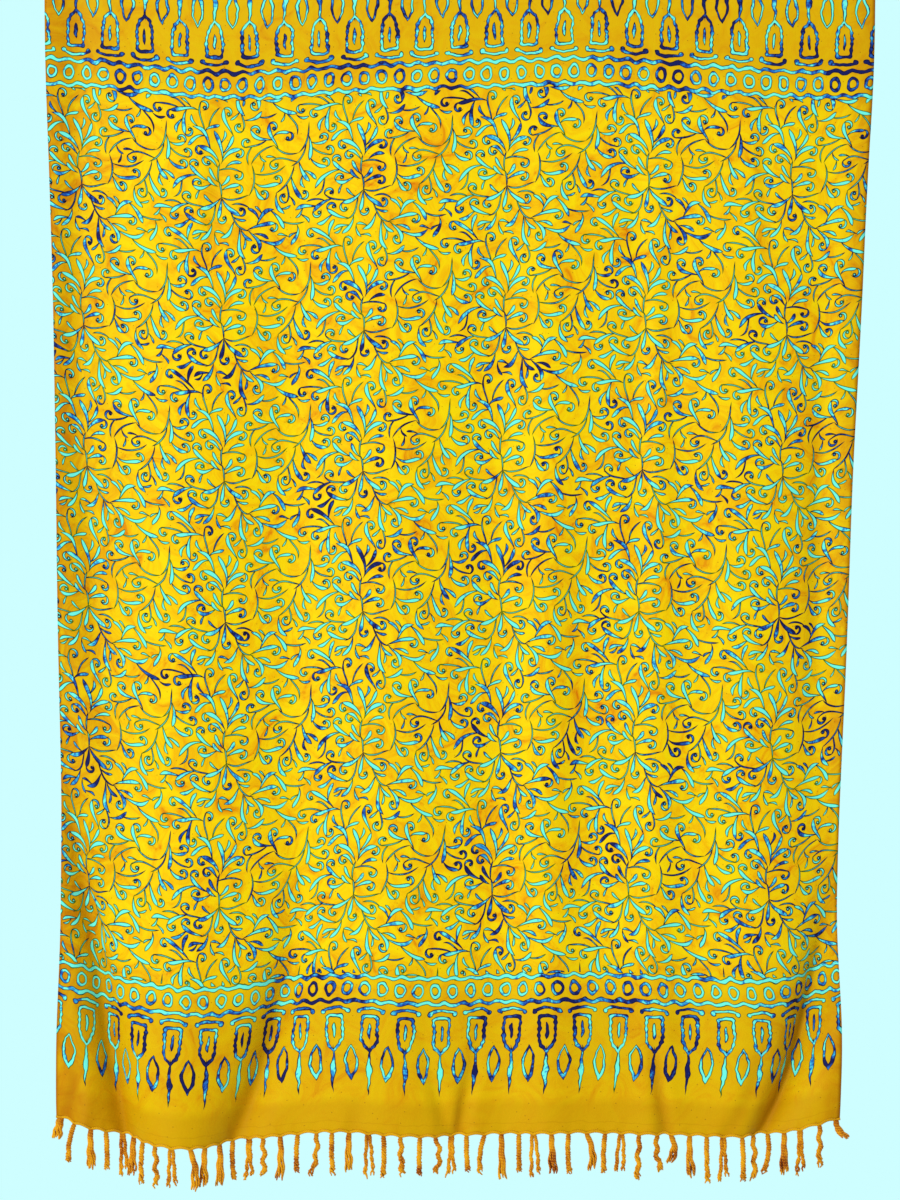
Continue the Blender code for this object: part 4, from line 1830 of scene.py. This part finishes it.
@dataclass
class Studio:
    """A pale round floor, a pale sky, two soft lights and the camera."""

    floor_level: float = -2.0
    floor_radius: float = 1.0
    floor_colour: str = "#E9EEF0"
    sky_seen: str = "#CEFEFF"
    sky_light: str = "#BDBEBE"
    lit_middle: tuple = (0.0, 0.0, -0.85)
    lamps: tuple = (Lamp("key", (-3.8, -6.1, 0.85), 392.0, 1.4, "#FFFDF6"),
                    Lamp("fill", (1.6, 3.2, 0.4), 65.0, 1.6, "#FFF6E6"))
    frame_height: float = 1.656
    frame_middle_x: float = -0.0138
    frame_middle_z: float = -0.925
    camera_distance: float = 3.9
    sensor_mm: float = 36.0

    def build_floor(self) -> None:
        """Make the floor of painted board, even and matt, outside the main view."""
        bpy.ops.object.select_all(action="DESELECT")
        bpy.ops.mesh.primitive_circle_add(
            vertices=96, radius=self.floor_radius, fill_type="NGON",
            location=(0.0, 0.0, self.floor_level))
        floor = bpy.context.object
        floor.name = "studio_floor"
        bpy.ops.object.transform_apply(location=True, rotation=True, scale=True)
        material, _, shader = new_material("pale_painted_board", roughness=0.8, sheen=0.0)
        shader.inputs["Base Color"].default_value = linear(self.floor_colour)
        floor.data.materials.append(material)

    def hang_lamp(self, lamp: Lamp) -> None:
        """Add one lamp, pointing at the middle of the cloth.

        Args:
            lamp: the lamp.
        """
        light = bpy.data.lights.new(lamp.name, "AREA")
        light.energy = lamp.power
        light.size = lamp.side
        light.color = linear(lamp.colour)[:3]
        holder = bpy.data.objects.new(lamp.name, light)
        holder.location = lamp.place
        aim = Vector(self.lit_middle) - Vector(lamp.place)
        holder.rotation_euler = aim.to_track_quat("-Z", "Y").to_euler()
        bpy.context.scene.collection.objects.link(holder)

    def build(self) -> None:
        """Set up the floor, the sky, the lights and the camera."""
        self.build_floor()
        world = bpy.data.worlds.new("pale_sky")
        world.use_nodes = True
        tree = world.node_tree
        seen = add_node(tree, "LightPath", output="Is Camera Ray")
        colour = layered(tree, linear(self.sky_light), (seen, linear(self.sky_seen)))
        tree.links.new(colour, tree.nodes["Background"].inputs["Color"])
        bpy.context.scene.world = world
        for lamp in self.lamps:
            self.hang_lamp(lamp)
        lens = bpy.data.cameras.new("camera")
        lens.sensor_fit = "VERTICAL"
        lens.sensor_height = self.sensor_mm
        lens.lens = self.sensor_mm * self.camera_distance / self.frame_height
        camera = bpy.data.objects.new("camera", lens)
        camera.location = (self.frame_middle_x, -self.camera_distance, self.frame_middle_z)
        camera.rotation_euler = (0.5 * math.pi, 0.0, 0.0)
        bpy.context.scene.collection.objects.link(camera)
        bpy.context.scene.camera = camera
        bpy.context.scene.view_settings.view_transform = "Standard"


def main() -> None:
    """Build the sarong, piece by piece."""
    logging.basicConfig(level=logging.INFO, format="%(message)s")
    lower = TasselRow(seed=11).tassels(ODD_TASSELS)
    upper = TasselRow(seed=5).tassels({})
    hung = HungCloth(tassel_shares=np.array([tassel.share for tassel in lower]))
    cloth = hung.build()
    vine = StampedVine(repeat=VineRepeat())
    strokes = vine.print_on(cloth, hung.columns(), 1.0 - hung.row_shares()[::-1])
    cloth.data.materials.append(BatikDye(vine=vine).material())
    log.info("%s: %d faces, %d strokes in its vine", cloth.name,
             len(cloth.data.polygons), strokes)
    cord = TwistedCord().material()
    bottom = Fringe("sarong_fringe_bottom", hung, hung.length, lower)
    top = Fringe("sarong_fringe_top", hung, 0.0, upper, behind=0.0028)
    for fringe, replaced in ((bottom, "fringe_bottom"), (top, "fringe_top")):
        piece = fringe.build()
        piece.data.materials.append(cord)
        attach(piece, BODY)
        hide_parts(replaced)
        log.info("%s: %d faces", piece.name, len(piece.data.polygons))
    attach(cloth, BODY)
    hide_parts("cloth_panel")
    Studio().build()


if __name__ == "__main__":
    main()
